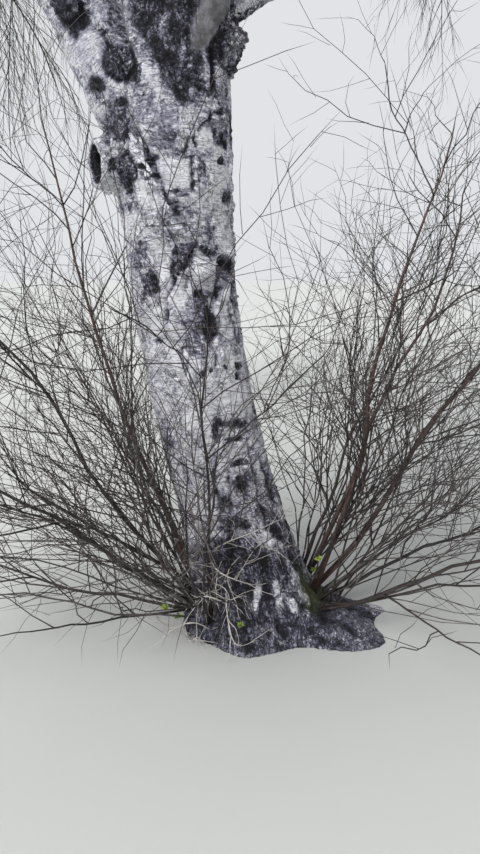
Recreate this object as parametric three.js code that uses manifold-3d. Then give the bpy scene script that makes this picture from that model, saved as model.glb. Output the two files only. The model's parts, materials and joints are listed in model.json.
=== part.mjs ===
// An old silver birch grown in the open: a leaning, flaring trunk that forks low into five limbs, a bare
// weeping crown, and a thicket of young shoots that spring from the root flare. Millimetres, +Z up. The
// origin is the middle of the flat cut under the trunk, +X is to the right of the tree's front, and -Y is
// towards the viewer.
import * as THREE from "three";
import { mergeVertices } from "three/addons/utils/BufferGeometryUtils.js";
import Module from "manifold-3d";

const wasm = await Module();
wasm.setup();

// The whole tree
const treeHeight = 13000;
const seatGap = 0.3; // between pieces that touch
const goldenAngle = 137.5; // from one twig or bough to the next, round what bears them

// The trunk
const trunkTop = 2330; // top of the crotch between the limbs
const stemRadius = 202; // above the flare
const footSwell = 92; // what the flare adds at ground level, all round
const footSwellHeight = 270;
const forkSwell = 16; // what the fork adds
const forkSwellFrom = 1450;
const forkSwellTo = 1950;
const crotchHeight = 230; // the rounded top, where the trunk closes between the limbs
const crotchFlat = 0.17; // of its radius, left flat at the very top
const trunkLean = 322; // how far the trunk has moved to the left at its top
const leanHeight = 930;
const leanCurve = 1.6;
const trunkSides = 38;
const trunkRings = 24;
const ringCrowding = 1.5; // rings lie closer together near the ground

// Root buttresses: where each points, how far it reaches past the flare, its half width and its height
const buttresses = [
  { azimuth: -25, reach: 265, width: 17, height: 60 },
  { azimuth: 7, reach: 275, width: 11, height: 60 },
  { azimuth: -10, reach: 25, width: 34, height: 120 },
  { azimuth: 58, reach: 120, width: 18, height: 130 },
  { azimuth: 112, reach: 150, width: 15, height: 120 },
  { azimuth: 158, reach: 60, width: 17, height: 120 },
  { azimuth: 203, reach: 30, width: 18, height: 120 },
  { azimuth: 262, reach: 30, width: 16, height: 150 },
];

// Burls and the collar of a lost branch, on the trunk's surface at an azimuth and a height
const trunkBurls = [
  { azimuth: 226, height: 1830, radius: 68, proud: 0.25 },
  { azimuth: 304, height: 1483, radius: 88, proud: 0.15 },
  { azimuth: 96, height: 1230, radius: 85, proud: 0.2 },
  { azimuth: -10, height: 2250, radius: 100, proud: 1 },
];
const collar = { azimuth: 194, height: 1862, facing: 208, radius: 84, length: 150, hollow: 50, depth: 70, drop: 6 };
const collarWidths = [1.2, 0.95, 1]; // of its radius: at its root, its waist and its lip
const collarWaist = 0.6; // of the way out
const hollowWidths = [0.7, 1.2]; // of the hollow's radius: at its bottom and above its mouth

// Where each limb starts inside the trunk, how far from upright and which way it leaves, its thickness at
// both ends, and where it ends: an azimuth and a reach from the crown's axis, and a height
const crownAxis = new THREE.Vector3(-150, 100, 0);
const limbs = [
  {
    name: "limb_left",
    foot: [-236, -50, 1650],
    lean: 25.5,
    leaving: 182,
    thick: 134,
    thin: 36,
    azimuth: 182,
    reach: 2150,
    tip: 6900,
  },
  {
    name: "limb_centre",
    foot: [-340, 60, 1700],
    lean: 4,
    leaving: 150,
    thick: 140,
    thin: 34,
    azimuth: 70,
    reach: 250,
    tip: 9900,
  },
  {
    name: "limb_right",
    foot: [-290, 20, 2330],
    lean: 68,
    leaving: 358,
    thick: 98,
    thin: 32,
    azimuth: 5,
    reach: 2350,
    tip: 6300,
  },
  {
    name: "limb_front",
    foot: [-215, -20, 2050],
    lean: 20,
    leaving: 300,
    thick: 58,
    thin: 26,
    azimuth: 294,
    reach: 2200,
    tip: 6200,
  },
  {
    name: "limb_back",
    foot: [-320, 80, 1800],
    lean: 28,
    leaving: 94,
    thick: 108,
    thin: 32,
    azimuth: 94,
    reach: 2250,
    tip: 6700,
  },
];
const limbBurls = [
  { limb: "limb_left", height: 2336, towards: [-0.42, -0.9, 0], radius: 52, proud: 0.55 },
  { limb: "limb_left", height: 2157, towards: [0.2, -1, 0], radius: 56, proud: 0.4 },
];
const leaveShare = 0.25; // of a limb's span, to its first control point
const arriveShare = 0.45; // and from its last one to the tip
const arriveLean = 9;
const limbTaper = 1.15;
const limbSway = 70;
const swayWaves = 1.15; // along a limb
const limbSides = 9;
const limbSteps = 12;

// Side boughs leave each limb between two shares of its length. They turn round the centre limb, and leave
// the outer limbs on one side and the other.
const boughs = {
  limb_left: { count: 3, from: 0.36, to: 0.84 },
  limb_centre: { count: 7, from: 0.3, to: 0.93, firstTurn: 65 },
  limb_right: { count: 3, from: 0.34, to: 0.84 },
  limb_front: { count: 2, from: 0.42, to: 0.8 },
  limb_back: { count: 3, from: 0.34, to: 0.84 },
};
const boughFan = 74; // degrees to either side of an outer limb's own azimuth
const boughLength = 1750;
const boughShortening = 0.42; // of its length, from the lowest place on a limb to the highest
const boughRise = 0.4; // of its length, at the lowest place
const boughRiseMore = 0.6; // and how much more at the highest
const boughLeave = { out: 0.34, up: 0.62 }; // its first control point, as shares of its reach and rise
const boughArrive = { out: 0.68, up: 0.95 };
const boughThickness = 0.62; // of the limb where it leaves
const boughTaper = 0.8;
const boughTip = 18;
const boughSway = 35;
const boughSides = 5;
const boughSteps = 5;

// The crown is a body of revolution: widest at its waist, round above it, a weeping skirt below
const crownRadius = 4350;
const crownWaist = 5600;
const crownPower = 1.45;
const skirtPull = 0.1; // of the radius, at the skirt's hem
const hemOutside = 2100; // height of the lowest twigs at the crown's edge
const hemInside = 3100; // and beside the trunk

// Twigs: a mass's stem bears arms, and arms bear strands that hang. A rule gives the spacing of twigs along
// what bears them and the shares of it that they stand between, the angle at which they leave, their length,
// how far they bend down and wander on the way, their steps, and their radius at both ends.
const crownTwigs = {
  stem: { steps: 5, bend: 0.45, wander: 0.12, taper: 0.7 },
  arm: {
    spacing: 420,
    from: 0.16,
    to: 0.96,
    angle: 56,
    length: 1500,
    bend: 0.75,
    wander: 0.16,
    steps: 3,
    thick: 13,
    thin: 7,
  },
  strand: {
    spacing: 620,
    from: 0.3,
    to: 0.96,
    angle: 48,
    length: 1350,
    bend: 3.2,
    wander: 0.12,
    steps: 3,
    thick: 7,
    thin: 3.5,
  },
};
const stemReach = 0.94; // of the way from a bough's tip to the crown's outline
const longestStem = 3000;
const shortestStem = 900;
const stemRoot = 40; // a stem starts straight on from its bough
const stemSides = 4;
const twigSides = 3;
const turnSpread = 40; // degrees, by chance
const lengthSpread = 0.3; // by chance
const lengthAtFoot = 1.1; // of a twig's length, at the foot of what bears it
const lengthLoss = 0.45; // towards that one's tip
const twigThickness = 0.75; // at most, of what bears it
const twigClearance = 14; // from another mass's space, and from limbs
const shortestTwig = 0.4; // of its intended length: a twig that has less room than this is skipped
const probeStep = 50; // to find the crown's outline

// Young shoots round the foot: where each springs from the flare, and how it heads away
const shoots = [
  { azimuth: 3, height: 120, heading: 2, lean: 38, length: 2150, thick: 17 },
  { azimuth: 16, height: 130, heading: 24, lean: 27, length: 2150, thick: 14 },
  { azimuth: -9, height: 125, heading: -14, lean: 17, length: 2100, thick: 14 },
  { azimuth: -17, height: 90, heading: -34, lean: 58, length: 1500, thick: 11 },
  { azimuth: 30, height: 110, heading: 58, lean: 42, length: 1700, thick: 11 },
  { azimuth: 10, height: 75, heading: 8, lean: 70, length: 1600, thick: 11 },
  { azimuth: 176, height: 130, heading: 174, lean: 20, length: 2050, thick: 13 },
  { azimuth: 190, height: 125, heading: 188, lean: 38, length: 2050, thick: 12 },
  { azimuth: 205, height: 110, heading: 206, lean: 52, length: 1750, thick: 11 },
  { azimuth: 197, height: 70, heading: 194, lean: 74, length: 1500, thick: 9 },
  { azimuth: 160, height: 110, heading: 144, lean: 44, length: 1700, thick: 11 },
  { azimuth: 227, height: 90, heading: 268, lean: 21, length: 1500, thick: 8 },
  { azimuth: 214, height: 80, heading: 236, lean: 34, length: 1000, thick: 8 },
];
const shootTwigs = {
  stem: { steps: 5, bend: -0.15, wander: 0.13, taper: 0.78 },
  arm: {
    spacing: 440,
    from: 0.16,
    to: 0.9,
    angle: 42,
    length: 780,
    bend: -0.1,
    wander: 0.2,
    steps: 2,
    thick: 5,
    thin: 2.5,
  },
  strand: {
    spacing: 600,
    from: 0.4,
    to: 0.8,
    angle: 45,
    length: 340,
    bend: 0,
    wander: 0.2,
    steps: 2,
    thick: 3,
    thin: 1.6,
  },
};
const lowestShootTwig = 25;

// Where the chances start, so that the tree is the same on every run
const seeds = { limb: 11, bough: 40, crown: 101, shoot: 700, shootTwigs: 900 };
const turnPerSeed = 31;
const turnPerShoot = 50;

const barkWhite = new THREE.MeshStandardMaterial({ color: 0xb3b1bb, roughness: 0.86, metalness: 0 });
const limbBark = new THREE.MeshStandardMaterial({ color: 0x9a979d, roughness: 0.85, metalness: 0 });
const twigBark = new THREE.MeshStandardMaterial({ color: 0x4c413f, roughness: 0.75, metalness: 0 });
const shootBark = new THREE.MeshStandardMaterial({ color: 0x5e463f, roughness: 0.7, metalness: 0 });

const radians = THREE.MathUtils.degToRad;
const up = new THREE.Vector3(0, 0, 1);

// Numbers from 0 to 1 that are the same on every run.
function seeded(seed) {
  let state = seed;
  return () => {
    state = (state * 1664525 + 1013904223) % 4294967296;
    return state / 4294967296;
  };
}

function level(azimuth) {
  return new THREE.Vector3(Math.cos(radians(azimuth)), Math.sin(radians(azimuth)), 0);
}

// The way that leans from upright by so many degrees, towards an azimuth.
function leaning(lean, azimuth) {
  return level(azimuth).multiplyScalar(Math.sin(radians(lean))).addScaledVector(up, Math.cos(radians(lean)));
}

// The heading turned away from itself by an angle, to the side that a turn round it gives.
function turnedAway(heading, angle, turn) {
  const other = Math.abs(heading.z) > 0.95 ? level(0) : up;
  const across = new THREE.Vector3().crossVectors(heading, other).normalize();
  across.applyAxisAngle(heading, radians(turn));
  return heading.clone().applyAxisAngle(across, radians(angle)).normalize();
}

function solidOf(geometry) {
  geometry.deleteAttribute("normal");
  geometry.deleteAttribute("uv");
  const merged = mergeVertices(geometry);
  const vertProperties = merged.getAttribute("position").array;
  const triVerts = new Uint32Array(merged.index.array);
  return new wasm.Manifold(new wasm.Mesh({ numProp: 3, vertProperties, triVerts }));
}

function largestOf(solid) {
  return solid.decompose().sort((a, b) => b.volume() - a.volume())[0];
}

// A round limb along points, with a radius at each. Its far end is flat, or a point.
function tapered(points, radii, sides, pointed) {
  const steps = points.length - 1;
  const geometry = new THREE.CylinderGeometry(pointed ? 0 : 1, 1, 1, sides, steps);
  const frames = [];
  let across = null;
  for (let i = 0; i <= steps; i++) {
    const along = points[Math.min(i + 1, steps)].clone().sub(points[Math.max(i - 1, 0)]).normalize();
    if (!across) across = new THREE.Vector3().crossVectors(along, Math.abs(along.z) > 0.9 ? level(0) : up);
    across.addScaledVector(along, -across.dot(along)).normalize();
    frames.push({ across: across.clone(), beside: new THREE.Vector3().crossVectors(across, along) });
  }
  const position = geometry.getAttribute("position");
  for (let i = 0; i < position.count; i++) {
    const ring = Math.round((position.getY(i) + 0.5) * steps);
    const away = Math.hypot(position.getX(i), position.getZ(i));
    const place = points[ring].clone();
    if (away > 1e-9) {
      place.addScaledVector(frames[ring].across, (position.getX(i) / away) * radii[ring]);
      place.addScaledVector(frames[ring].beside, (position.getZ(i) / away) * radii[ring]);
    }
    position.setXYZ(i, place.x, place.y, place.z);
  }
  return solidOf(geometry);
}

// The trunk
function trunkAxis(height) {
  const share = 1 - Math.exp(-Math.pow(height / leanHeight, leanCurve));
  return new THREE.Vector3(-trunkLean * share, 0, height);
}

function trunkRadius(height, azimuth) {
  const flare = footSwell * Math.exp(-height / footSwellHeight);
  const fork = forkSwell * THREE.MathUtils.smoothstep(height, forkSwellFrom, forkSwellTo);
  let radius = stemRadius + flare + fork;
  for (const b of buttresses) {
    const off = THREE.MathUtils.euclideanModulo(azimuth - b.azimuth + 180, 360) - 180;
    radius += b.reach * Math.exp(-Math.pow(off / b.width, 2) - height / b.height);
  }
  const closing = THREE.MathUtils.clamp((height - trunkTop + crotchHeight) / crotchHeight, 0, 1);
  return radius * Math.sqrt(1 - (1 - crotchFlat * crotchFlat) * closing * closing);
}

function onTrunk(azimuth, height, inwards = 0) {
  return trunkAxis(height).addScaledVector(level(azimuth), trunkRadius(height, azimuth) - inwards);
}

function trunkBody(grown) {
  const geometry = new THREE.CylinderGeometry(1, 1, 1, trunkSides, trunkRings);
  const position = geometry.getAttribute("position");
  for (let i = 0; i < position.count; i++) {
    const height = trunkTop * Math.pow(position.getY(i) + 0.5, ringCrowding);
    const away = Math.hypot(position.getX(i), position.getZ(i));
    const azimuth = THREE.MathUtils.radToDeg(Math.atan2(-position.getZ(i), position.getX(i)));
    const place = trunkAxis(height);
    if (away > 1e-9) place.addScaledVector(level(azimuth), trunkRadius(height, azimuth) + grown);
    position.setXYZ(i, place.x, place.y, place.z);
  }
  return solidOf(geometry);
}

function burlSolid(centre, radius) {
  const geometry = new THREE.IcosahedronGeometry(radius, 1);
  return solidOf(geometry.translate(centre.x, centre.y, centre.z));
}

// The trunk with its burls and collar, all grown by so much.
function trunkSolid(grown) {
  let trunk = trunkBody(grown);
  for (const b of trunkBurls) {
    const centre = onTrunk(b.azimuth, b.height, b.radius * (1 - b.proud));
    trunk = trunk.add(burlSolid(centre, b.radius + grown));
  }
  const outwards = leaning(90 + collar.drop, collar.facing);
  const root = onTrunk(collar.azimuth, collar.height, collar.length / 2);
  const lip = root.clone().addScaledVector(outwards, collar.length);
  const middle = root.clone().lerp(lip, collarWaist);
  const widths = collarWidths.map((k) => k * collar.radius + grown);
  trunk = trunk.add(tapered([root, middle, lip], widths, 12, false));
  const bottom = lip.clone().addScaledVector(outwards, -collar.depth);
  const mouth = lip.clone().addScaledVector(outwards, collar.depth);
  const hollow = hollowWidths.map((k) => k * collar.hollow);
  return trunk.subtract(tapered([bottom, mouth], hollow, 10, false));
}

// Limbs and side boughs
function bendPoints(foot, leave, arrive, tip, steps, sway, seed) {
  const curve = new THREE.CubicBezierCurve3(foot, leave, arrive, tip);
  const random = seeded(seed);
  const phase = random() * 2 * Math.PI;
  const side = new THREE.Vector3().crossVectors(tip.clone().sub(foot), level(random() * 360)).normalize();
  return Array.from({ length: steps + 1 }, (_, i) => {
    const share = i / steps;
    const off = sway * Math.sin(share * swayWaves * 2 * Math.PI + phase) * Math.sin(share * Math.PI);
    return curve.getPoint(share).addScaledVector(side, off);
  });
}

function limbLine(limb, seed) {
  const foot = new THREE.Vector3(...limb.foot);
  const tip = crownAxis.clone().addScaledVector(level(limb.azimuth), limb.reach);
  tip.z = limb.tip;
  const span = foot.distanceTo(tip);
  const leave = foot.clone().addScaledVector(leaning(limb.lean, limb.leaving), leaveShare * span);
  const arrive = tip.clone().addScaledVector(leaning(arriveLean, limb.azimuth), -arriveShare * span);
  const points = bendPoints(foot, leave, arrive, tip, limbSteps, limbSway, seed);
  const slimming = points.map((_, i) => Math.pow(1 - i / limbSteps, limbTaper));
  const radii = slimming.map((share) => limb.thin + (limb.thick - limb.thin) * share);
  return { name: limb.name, azimuth: limb.azimuth, points, radii };
}

function pointAlong(points, share) {
  const place = share * (points.length - 1);
  const i = Math.min(Math.floor(place), points.length - 2);
  return points[i].clone().lerp(points[i + 1], place - i);
}

function numberAlong(numbers, share) {
  const place = share * (numbers.length - 1);
  const i = Math.min(Math.floor(place), numbers.length - 2);
  return numbers[i] + (numbers[i + 1] - numbers[i]) * (place - i);
}

function shareAtHeight(points, height) {
  const i = points.findIndex((p) => p.z > height) - 1;
  return (i + (height - points[i].z) / (points[i + 1].z - points[i].z)) / (points.length - 1);
}

function boughLine(limb, rule, k) {
  const climb = k / (rule.count - 1);
  const share = rule.from + (rule.to - rule.from) * climb;
  const turn = rule.firstTurn ? rule.firstTurn + k * goldenAngle : (k % 2 ? 1 : -1) * boughFan;
  const out = level(limb.azimuth + turn);
  const length = boughLength * (1 - boughShortening * climb);
  const rise = (boughRise + boughRiseMore * climb) * length;
  const foot = pointAlong(limb.points, share);
  const [leave, arrive, tip] = [boughLeave, boughArrive, { out: 1, up: 1 }].map((at) =>
    foot.clone().addScaledVector(out, at.out * length).addScaledVector(up, at.up * rise),
  );
  const points = bendPoints(foot, leave, arrive, tip, boughSteps, boughSway, seeds.bough + k);
  const thick = boughThickness * numberAlong(limb.radii, share);
  const radii = points.map((_, i) => thick + (boughTip - thick) * Math.pow(i / boughSteps, boughTaper));
  return { name: `${limb.name.replace("limb", "bough")}_${k + 1}`, points, radii };
}

function limbSolid(line, sides, grown = 0) {
  return tapered(line.points, line.radii.map((r) => r + grown), sides, false);
}

// The crown's outline, as a share of its greatest radius at a height.
function crownWidth(height) {
  const high = (height - crownWaist) / (treeHeight - crownWaist);
  const low = (crownWaist - height) / (crownWaist - hemOutside);
  if (high > 0) return Math.pow(Math.max(0, 1 - Math.pow(high, crownPower)), 1 / crownPower);
  return 1 - skirtPull * low * low;
}

function insideCrown(p) {
  const share = Math.hypot(p.x - crownAxis.x, p.y - crownAxis.y) / crownRadius;
  const hem = hemInside + (hemOutside - hemInside) * Math.min(1, share);
  return share < crownWidth(p.z) && p.z > hem;
}

// A twig grows step by step: it bends down or up, wanders, and stops where it may not go.
function growTwig(start, heading, rule, length, random, allowed) {
  const points = [start.clone()];
  const way = heading.clone();
  for (let i = 0; i < rule.steps; i++) {
    way.z -= rule.bend / rule.steps;
    way.x += (random() - 0.5) * 2 * rule.wander;
    way.y += (random() - 0.5) * 2 * rule.wander;
    way.normalize();
    const next = points[i].clone().addScaledVector(way, length / rule.steps);
    if (!allowed(next) || !allowed(next.clone().lerp(points[i], 0.5))) break;
    points.push(next);
  }
  return points;
}

function tangentAlong(points, share) {
  const i = Math.min(Math.floor(share * (points.length - 1)), points.length - 2);
  return points[i + 1].clone().sub(points[i]).normalize();
}

function lengthOf(points) {
  return points.slice(1).reduce((sum, p, i) => sum + p.distanceTo(points[i]), 0);
}

function childTwigs(parent, rule, random, allowed) {
  const grown = [];
  const count = Math.max(1, Math.round(lengthOf(parent.points) / rule.spacing));
  for (let k = 0; k < count; k++) {
    const share = rule.from + ((rule.to - rule.from) * (k + 0.5 * random())) / count;
    const turn = parent.turn + k * goldenAngle + turnSpread * random();
    const heading = turnedAway(tangentAlong(parent.points, share), rule.angle, turn);
    const chance = 1 + lengthSpread * (random() - 0.5);
    const intended = rule.length * (lengthAtFoot - lengthLoss * share) * chance;
    const points = growTwig(pointAlong(parent.points, share), heading, rule, intended, random, allowed);
    if (points.length - 1 >= rule.steps * shortestTwig) {
      const thick = Math.min(rule.thick, twigThickness * numberAlong(parent.radii, share));
      const radii = points.map((_, i) => thick + ((rule.thin - thick) * i) / (points.length - 1));
      grown.push({ points, radii, turn: turn + 90 });
    }
  }
  return grown;
}

function distanceToLine(p, points) {
  let least = Infinity;
  const nearest = new THREE.Vector3();
  for (let i = 0; i + 1 < points.length; i++) {
    new THREE.Line3(points[i], points[i + 1]).closestPointToPoint(p, true, nearest);
    least = Math.min(least, nearest.distanceTo(p));
  }
  return least;
}

function inOwnSpace(p, stem, stems) {
  const own = distanceToLine(p, stem.points) + 2 * twigClearance;
  return stems.every((other) => other === stem || distanceToLine(p, other.points) > own);
}

function clearOfLimbs(p, lines) {
  return lines.every((line) =>
    line.radii.slice(1).every((_, i) => {
      const stretch = line.points.slice(i, i + 2);
      return distanceToLine(p, stretch) > line.radii[i] + twigClearance;
    }),
  );
}

// A mass: a stem, its arms and their strands, in the space that is nearer to this stem than to any other.
function massSolid(stem, rules, stems, carriers, inside) {
  const random = seeded(stem.seed);
  const allowed = (p) => inside(p) && inOwnSpace(p, stem, stems) && clearOfLimbs(p, carriers);
  const arms = childTwigs(stem, rules.arm, random, allowed);
  const parts = [tapered(stem.points, stem.radii, stemSides, true)];
  for (const arm of arms) {
    parts.push(tapered(arm.points, arm.radii, twigSides, true));
    const strands = childTwigs(arm, rules.strand, random, allowed);
    for (const strand of strands) parts.push(tapered(strand.points, strand.radii, twigSides, true));
  }
  return largestOf(wasm.Manifold.union(parts));
}

function stemRadii(points, thick, taper) {
  return points.map((_, i) => thick * (1 - (taper * i) / (points.length - 1)));
}

// A mass's stem starts at the tip of its bough and runs on to just inside the crown's outline.
function crownStem(line, seed) {
  const last = line.points.length - 1;
  const heading = line.points[last].clone().sub(line.points[last - 1]).normalize();
  const start = line.points[last].clone().addScaledVector(heading, seatGap);
  const probe = start.clone();
  let room = 0;
  while (insideCrown(probe) && room < longestStem / stemReach) {
    probe.addScaledVector(heading, probeStep);
    room += probeStep;
  }
  const length = Math.max(room * stemReach, shortestStem);
  const root = start.clone().addScaledVector(heading, stemRoot);
  const points = [start, ...growTwig(root, heading, crownTwigs.stem, length, seeded(seed), () => true)];
  const radii = stemRadii(points, line.radii[last], crownTwigs.stem.taper);
  const name = line.name.replace("limb", "crown").replace("bough", "crown");
  return { name, points, radii, seed, turn: turnPerSeed * seed };
}

// A shoot's stem starts just inside the root flare.
function shootStem(shoot, i) {
  const start = onTrunk(shoot.azimuth, shoot.height, 2 * shoot.thick);
  const heading = leaning(shoot.lean, shoot.heading);
  const random = seeded(seeds.shoot + i);
  const points = growTwig(start, heading, shootTwigs.stem, shoot.length, random, () => true);
  const radii = stemRadii(points, shoot.thick, shootTwigs.stem.taper);
  return { name: `shoot_${i + 1}`, points, radii, seed: seeds.shootTwigs + i, turn: turnPerShoot * i };
}

function clearOfTrunk(p) {
  const axis = trunkAxis(p.z);
  const azimuth = THREE.MathUtils.radToDeg(Math.atan2(p.y - axis.y, p.x - axis.x));
  return p.z > lowestShootTwig && p.distanceTo(axis) > trunkRadius(p.z, azimuth) + twigClearance;
}

const tree = new THREE.Group();

function addNode(name, solid, material) {
  const mesh = solid.getMesh();
  const geometry = new THREE.BufferGeometry();
  geometry.setAttribute("position", new THREE.BufferAttribute(mesh.vertProperties, 3));
  geometry.setIndex(new THREE.BufferAttribute(mesh.triVerts, 1));
  const node = new THREE.Mesh(geometry, material);
  node.name = name;
  tree.add(node);
}

// The trunk
addNode("trunk", trunkSolid(0), barkWhite);
const trunkGrown = trunkSolid(seatGap);

// The limbs, each cut clear of the trunk and of the limbs before it
const limbLines = limbs.map((limb, i) => limbLine(limb, seeds.limb + i));
let trunkAndLimbs = trunkGrown;
for (const line of limbLines) {
  let solid = limbSolid(line, limbSides);
  for (const b of limbBurls.filter((burl) => burl.limb === line.name)) {
    const share = shareAtHeight(line.points, b.height);
    const out = numberAlong(line.radii, share) - b.radius * (1 - b.proud);
    const towards = new THREE.Vector3(...b.towards).normalize();
    solid = solid.add(burlSolid(pointAlong(line.points, share).addScaledVector(towards, out), b.radius));
  }
  addNode(line.name, largestOf(solid.subtract(trunkAndLimbs)), limbBark);
  trunkAndLimbs = trunkAndLimbs.add(limbSolid(line, limbSides, seatGap));
}

// The side boughs
const boughLines = limbLines.flatMap((line) => {
  const rule = boughs[line.name];
  return Array.from({ length: rule.count }, (_, k) => boughLine(line, rule, k));
});
for (const line of boughLines) {
  addNode(line.name, largestOf(limbSolid(line, boughSides).subtract(trunkAndLimbs)), limbBark);
}

// The masses, one at the tip of each limb and side bough, and the shoots round the foot
const carriers = [...limbLines, ...boughLines];
const crownStems = carriers.map((line, i) => crownStem(line, seeds.crown + i));
const shootStems = shoots.map(shootStem);
const stems = [...crownStems, ...shootStems];
for (const stem of crownStems) {
  addNode(stem.name, massSolid(stem, crownTwigs, stems, carriers, insideCrown), twigBark);
}
for (const stem of shootStems) {
  const solid = massSolid(stem, shootTwigs, stems, carriers, clearOfTrunk);
  addNode(stem.name, largestOf(solid.subtract(trunkGrown)), shootBark);
}

export default tree;
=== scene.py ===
# An old silver birch in early spring, before its leaves: a leaning white trunk on a dark, flaring foot,
# a low fork into five limbs, a weeping crown of bare twigs, and a thicket of young shoots round the foot.
# Metres, +Z up. The origin is the middle of the flat cut under the trunk, and -Y is towards the viewer.
import json
import math

import bmesh
import bpy
import numpy as np
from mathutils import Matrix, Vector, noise

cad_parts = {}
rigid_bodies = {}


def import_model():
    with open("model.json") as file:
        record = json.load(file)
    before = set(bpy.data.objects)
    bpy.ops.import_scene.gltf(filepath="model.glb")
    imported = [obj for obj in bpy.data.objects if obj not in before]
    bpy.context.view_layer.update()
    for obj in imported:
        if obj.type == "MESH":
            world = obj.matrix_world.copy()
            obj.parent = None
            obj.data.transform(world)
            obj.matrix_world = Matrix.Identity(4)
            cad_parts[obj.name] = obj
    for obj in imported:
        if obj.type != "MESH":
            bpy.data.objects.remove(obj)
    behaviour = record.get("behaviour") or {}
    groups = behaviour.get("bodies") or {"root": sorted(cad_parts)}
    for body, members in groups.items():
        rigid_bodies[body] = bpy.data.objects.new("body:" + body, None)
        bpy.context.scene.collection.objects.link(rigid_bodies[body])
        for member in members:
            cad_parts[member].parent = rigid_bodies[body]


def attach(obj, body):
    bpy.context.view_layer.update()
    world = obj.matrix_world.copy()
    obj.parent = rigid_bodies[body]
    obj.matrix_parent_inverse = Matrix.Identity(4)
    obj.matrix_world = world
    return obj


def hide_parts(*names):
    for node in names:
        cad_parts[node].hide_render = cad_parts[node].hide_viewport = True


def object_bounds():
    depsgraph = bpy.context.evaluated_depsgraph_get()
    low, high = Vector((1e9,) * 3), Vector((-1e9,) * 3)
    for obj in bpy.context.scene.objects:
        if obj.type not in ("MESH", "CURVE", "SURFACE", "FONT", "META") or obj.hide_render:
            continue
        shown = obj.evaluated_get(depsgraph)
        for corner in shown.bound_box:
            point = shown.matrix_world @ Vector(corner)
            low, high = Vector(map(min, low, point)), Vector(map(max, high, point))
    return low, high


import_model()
cad_box = [list(corner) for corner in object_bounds()]

# The view
# The camera stands where the photo was taken: at eye height on the lawn, close in front of the trunk and
# tilted down towards its foot. The marks on the bark are placed by where this view shows them.
photo_width = 480
photo_height = 854
focal_pixels = 641.0
camera_place = np.array((-0.062, -2.54, 1.5))
camera_tilt = math.radians(14.2)  # below the horizon
sensor_width = 36.0


def new_object(name, data):
    """An object in the scene, with its mesh, camera or light."""
    made = bpy.data.objects.new(name, data)
    bpy.context.scene.collection.objects.link(made)
    return made


camera_data = bpy.data.cameras.new("camera")
camera_data.sensor_width = sensor_width
camera_data.lens = focal_pixels / photo_height * sensor_width
camera = new_object("camera", camera_data)
camera.location = camera_place
camera.rotation_euler = (math.radians(90) - camera_tilt, 0, 0)
bpy.context.scene.camera = camera
bpy.context.scene.view_settings.view_transform = "Standard"

view_ahead = np.array((0, math.cos(camera_tilt), -math.sin(camera_tilt)))
view_up = np.array((0, math.sin(camera_tilt), math.cos(camera_tilt)))


def seen_at(points):
    """The pixels of the photo, from its top left, at which the view shows each point."""
    away = points - camera_place
    depth = np.maximum(away @ view_ahead, 0.1)
    right = photo_width / 2 + focal_pixels * away[:, 0] / depth
    down = photo_height / 2 - focal_pixels * (away @ view_up) / depth
    return right, down


def behind_pixel(right, down, back):
    """The point that the view shows at a pixel, where it is so far back along Y."""
    ray = view_ahead + view_up * (photo_height / 2 - down) / focal_pixels
    ray[0] += (right - photo_width / 2) / focal_pixels
    return camera_place + ray * (back - camera_place[1]) / ray[1]


# The trunk and the feet of its limbs
# One living stem: it flares into roots at the ground, leans left, and forks low into five limbs. The bark
# runs over all of it without a joint, papery above, furrowed and corky below, burry in the fork.
trunk_top = 2.33
stem_radius = 0.202
foot_swell = 0.092
foot_swell_height = 0.27
fork_swell = 0.016
fork_swell_from = 1.45
fork_swell_to = 1.95
crotch_height = 0.23
crotch_flat = 0.17
trunk_lean = 0.322
lean_height = 0.93
lean_curve = 1.6

# Root buttresses: azimuth, reach, half width in degrees, height
buttresses = [
    (-25, 0.265, 17, 0.06),
    (7, 0.275, 11, 0.06),
    (-10, 0.025, 34, 0.12),
    (58, 0.12, 18, 0.13),
    (112, 0.15, 15, 0.12),
    (158, 0.06, 17, 0.12),
    (203, 0.03, 18, 0.12),
    (262, 0.03, 16, 0.15),
    (-9, 0.1, 16, 0.05),
]

# Burls on the trunk: azimuth, height, radius, and the share of it that stands proud
trunk_burls = [
    (226, 1.83, 0.068, 0.25),
    (304, 1.483, 0.088, 0.15),
    (96, 1.23, 0.085, 0.2),
    (-10, 2.25, 0.1, 1),
]

crown_axis = np.array((-0.15, 0.1, 0))
limbs = {
    "left": dict(foot=(-0.236, -0.05, 1.65), lean=25.5, leaving=182, thick=0.134, thin=0.036, azimuth=182,
                 reach=2.15, tip=6.9),
    "centre": dict(foot=(-0.34, 0.06, 1.7), lean=4, leaving=150, thick=0.14, thin=0.034, azimuth=70,
                   reach=0.25, tip=9.9),
    "right": dict(foot=(-0.29, 0.02, 2.33), lean=68, leaving=358, thick=0.098, thin=0.032, azimuth=5,
                  reach=2.35, tip=6.3),
    "front": dict(foot=(-0.215, -0.02, 2.05), lean=20, leaving=300, thick=0.058, thin=0.026, azimuth=294,
                  reach=2.2, tip=6.2),
    "back": dict(foot=(-0.32, 0.08, 1.8), lean=28, leaving=94, thick=0.108, thin=0.032, azimuth=94,
                 reach=2.25, tip=6.7),
}
limb_seed = 11
leave_share = 0.25
arrive_share = 0.45
arrive_lean = 9
limb_taper = 1.15
limb_sway = 0.07
sway_waves = 1.15
limb_steps = 12

# Burls on limbs: the limb, a height, the way they face, radius, and the share of it that stands proud
limb_burls = [
    ("left", 2.336, (-0.26, -0.95, 0), 0.042, 0.6),
    ("left", 2.157, (0.38, -0.95, 0), 0.044, 0.5),
]

up = np.array((0.0, 0.0, 1.0))


def level(azimuth):
    return np.array((math.cos(math.radians(azimuth)), math.sin(math.radians(azimuth)), 0.0))


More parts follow.
